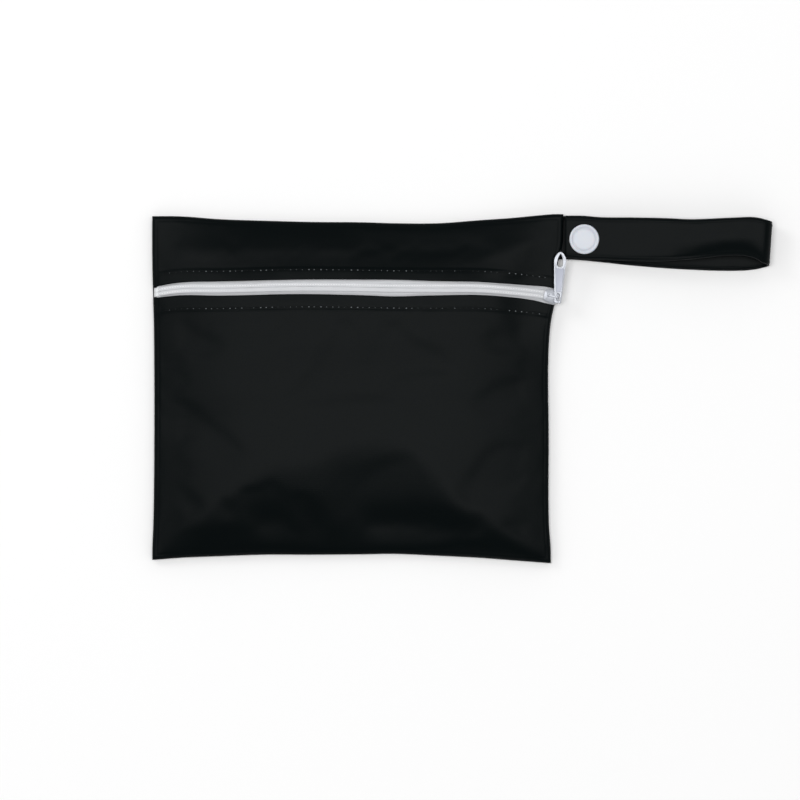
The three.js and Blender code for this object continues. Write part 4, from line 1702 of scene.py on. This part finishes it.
@dataclass
class Snap:
    """The plastic snap: a cap on each side of the loop, a stud and a socket between."""

    centre_x: float = 106.7
    centre_y: float = 68.6
    cap_radius: float = 6.85
    cap_thickness: float = 1.1
    cap_foot: float = 0.5
    cap_dish: float = 0.22
    upper_cap: float = 7.1
    lower_cap: float = 1.4
    stud_level: float = 3.0
    socket_level: float = 3.8
    bore: float = 1.2
    stud_radius: float = 3.9
    knob_radius: float = 2.1
    knob_height: float = 1.0
    knob_waist: float = 0.2
    knob_middle: float = 0.6
    knob_chamfer: float = 0.3
    flange: float = 0.5
    socket_radius: float = 4.4
    socket_height: float = 1.7
    socket_roof: float = 0.7
    socket_chamfer: tuple[float, float] = (0.6, 0.3)
    steps: int = 72
    merge: float = 0.004
    sharp_above: float = 40.0

    def turned(
        self, profile: Sequence[tuple[float, float]], level: float, flip: bool = False
    ) -> bmesh.types.BMesh:
        """A turned piece on the snap's axis.

        Args:
            profile: Radius and height of the points of its outline, in order.
            level: The height of its zero.
            flip: True if its height counts downwards.

        Returns:
            The mesh.
        """
        mesh = bmesh.new()
        points = [mesh.verts.new((radius * MM, 0, height * MM)) for radius, height in profile]
        edges = [mesh.edges.new(pair) for pair in zip(points, points[1:])]
        bmesh.ops.spin(
            mesh,
            geom=[*points, *edges],
            cent=(0, 0, 0),
            axis=(0, 0, 1),
            angle=math.tau,
            steps=self.steps,
            use_merge=True,
        )
        bmesh.ops.remove_doubles(mesh, verts=mesh.verts[:], dist=self.merge * MM)
        if flip:
            bmesh.ops.scale(mesh, verts=mesh.verts[:], vec=(1, 1, -1))
        bmesh.ops.translate(mesh, verts=mesh.verts[:], vec=Vector((self.centre_x, self.centre_y, level)) * MM)
        bmesh.ops.recalc_face_normals(mesh, faces=mesh.faces[:])
        return mesh

    def cap_profile(self) -> list[tuple[float, float]]:
        """The outline of a cap, dished inside its rounded rim.

        Returns:
            Radius and height of its points, from the middle of its foot to the middle of its dish.
        """
        r, t = self.cap_radius, self.cap_thickness
        rim = [(r - row.inward, t - row.down) for row in CAP_ROWS]
        return [(0, 0), (r - self.cap_foot, 0), *rim, (0, t - self.cap_dish)]

    def build(self) -> None:
        """Builds the four pieces."""
        flange, knob, high = self.flange, self.knob_radius, self.flange + self.knob_height
        stud = [
            (self.bore, 0),
            (self.stud_radius, 0),
            (self.stud_radius, flange),
            (knob - self.knob_waist, flange),
            (knob, flange + self.knob_middle),
            (knob - self.knob_chamfer, high),
            (self.bore, high),
            (self.bore, 0),
        ]
        inner = self.socket_height - self.socket_roof
        inward, down = self.socket_chamfer
        socket = [
            (knob + FIT_GAP, 0),
            (self.socket_radius, 0),
            (self.socket_radius, self.socket_height - down),
            (self.socket_radius - inward, self.socket_height),
            (self.bore, self.socket_height),
            (self.bore, inner),
            (knob + FIT_GAP, inner),
            (knob + FIT_GAP, 0),
        ]
        pieces = (
            ("snap_upper_cap", self.cap_profile(), self.upper_cap, False),
            ("snap_lower_cap", self.cap_profile(), self.lower_cap, True),
            ("snap_stud", stud, self.stud_level, False),
            ("snap_socket", socket, self.socket_level, False),
        )
        for node, profile, level, flip in pieces:
            made = made_object(f"{node}_moulding", self.turned(profile, level, flip), [WARDROBE.of(ACETAL)])
            sharpen(made, self.sharp_above)
            dress(made, Body.BAG, [node])


@dataclass(frozen=True)
class Softbox:
    """An oblong studio light that looks at the bag."""

    name: str
    place: tuple[float, float, float]
    width: float
    depth: float
    power: float

    def build(self) -> None:
        """Hangs the light."""
        light = bpy.data.lights.new(self.name, "AREA")
        light.shape = "RECTANGLE"
        light.size = self.width
        light.size_y = self.depth
        light.energy = self.power
        lamp = bpy.data.objects.new(self.name, light)
        lamp.location = self.place
        lamp.rotation_mode = "QUATERNION"
        lamp.rotation_quaternion = (-Vector(self.place)).to_track_quat("-Z", "Y")
        bpy.context.scene.collection.objects.link(lamp)


@dataclass
class Studio:
    """White paper, soft lights and the camera straight above."""

    floor: float = 6.0
    low_sky: float = 0.9
    high_sky: float = 0.05
    low_height: float = 0.35
    high_height: float = 0.85
    lights: tuple[Softbox, ...] = (
        Softbox("top softbox", (0.0, 0.15, 2.8), 2.8, 1.0, 55.0),
        Softbox("side softbox", (-1.7, 1.2, 1.1), 0.7, 0.7, 9.0),
    )
    shown: float = 370.0
    middle: tuple[float, float] = (21.74, -5.55)
    distance: float = 2500.0
    sensor: float = 36.0

    def build(self) -> None:
        """Builds the floor, the lights and the camera."""
        mesh = bmesh.new()
        bmesh.ops.create_grid(mesh, x_segments=1, y_segments=1, size=self.floor / 2)
        made_object("backdrop", mesh, [WARDROBE.of(PAPER)])
        for light in self.lights:
            light.build()
        world = bpy.data.worlds.new("studio")
        world.use_nodes = True
        sky = world.node_tree.nodes["Background"]
        sky.inputs["Color"].default_value = (1, 1, 1, 1)
        tree = world.node_tree
        direction = add_node(tree, "ShaderNodeTexCoord", {}, {}).outputs["Generated"]
        parts = add_node(tree, "ShaderNodeSeparateXYZ", {}, {"Vector": direction})
        settings = {
            "From Min": self.low_height,
            "From Max": self.high_height,
            "To Min": self.low_sky,
            "To Max": self.high_sky,
        }
        glow = add_node(tree, "ShaderNodeMapRange", settings, {"Value": parts.outputs["Z"]})
        tree.links.new(glow.outputs["Result"], sky.inputs["Strength"])
        scene = bpy.context.scene
        scene.world = world
        scene.view_settings.view_transform = "Standard"
        lens = bpy.data.cameras.new("camera above")
        lens.sensor_width = self.sensor
        lens.lens = self.sensor * self.distance / self.shown
        lens.clip_start = 0.05
        camera = bpy.data.objects.new("camera above", lens)
        camera.location = Vector((*self.middle, self.distance)) * MM
        scene.collection.objects.link(camera)
        scene.camera = camera


def main() -> None:
    """Builds the bag's sub-assemblies in order, then the studio."""
    logging.basicConfig(level=logging.INFO, format="%(message)s")
    for part in (Pouch(), CoilZip(), Slider(), CarryingLoop(), Snap(), Studio()):
        part.build()
        log.info("built %s", type(part).__name__)


if __name__ == "__main__":
    main()
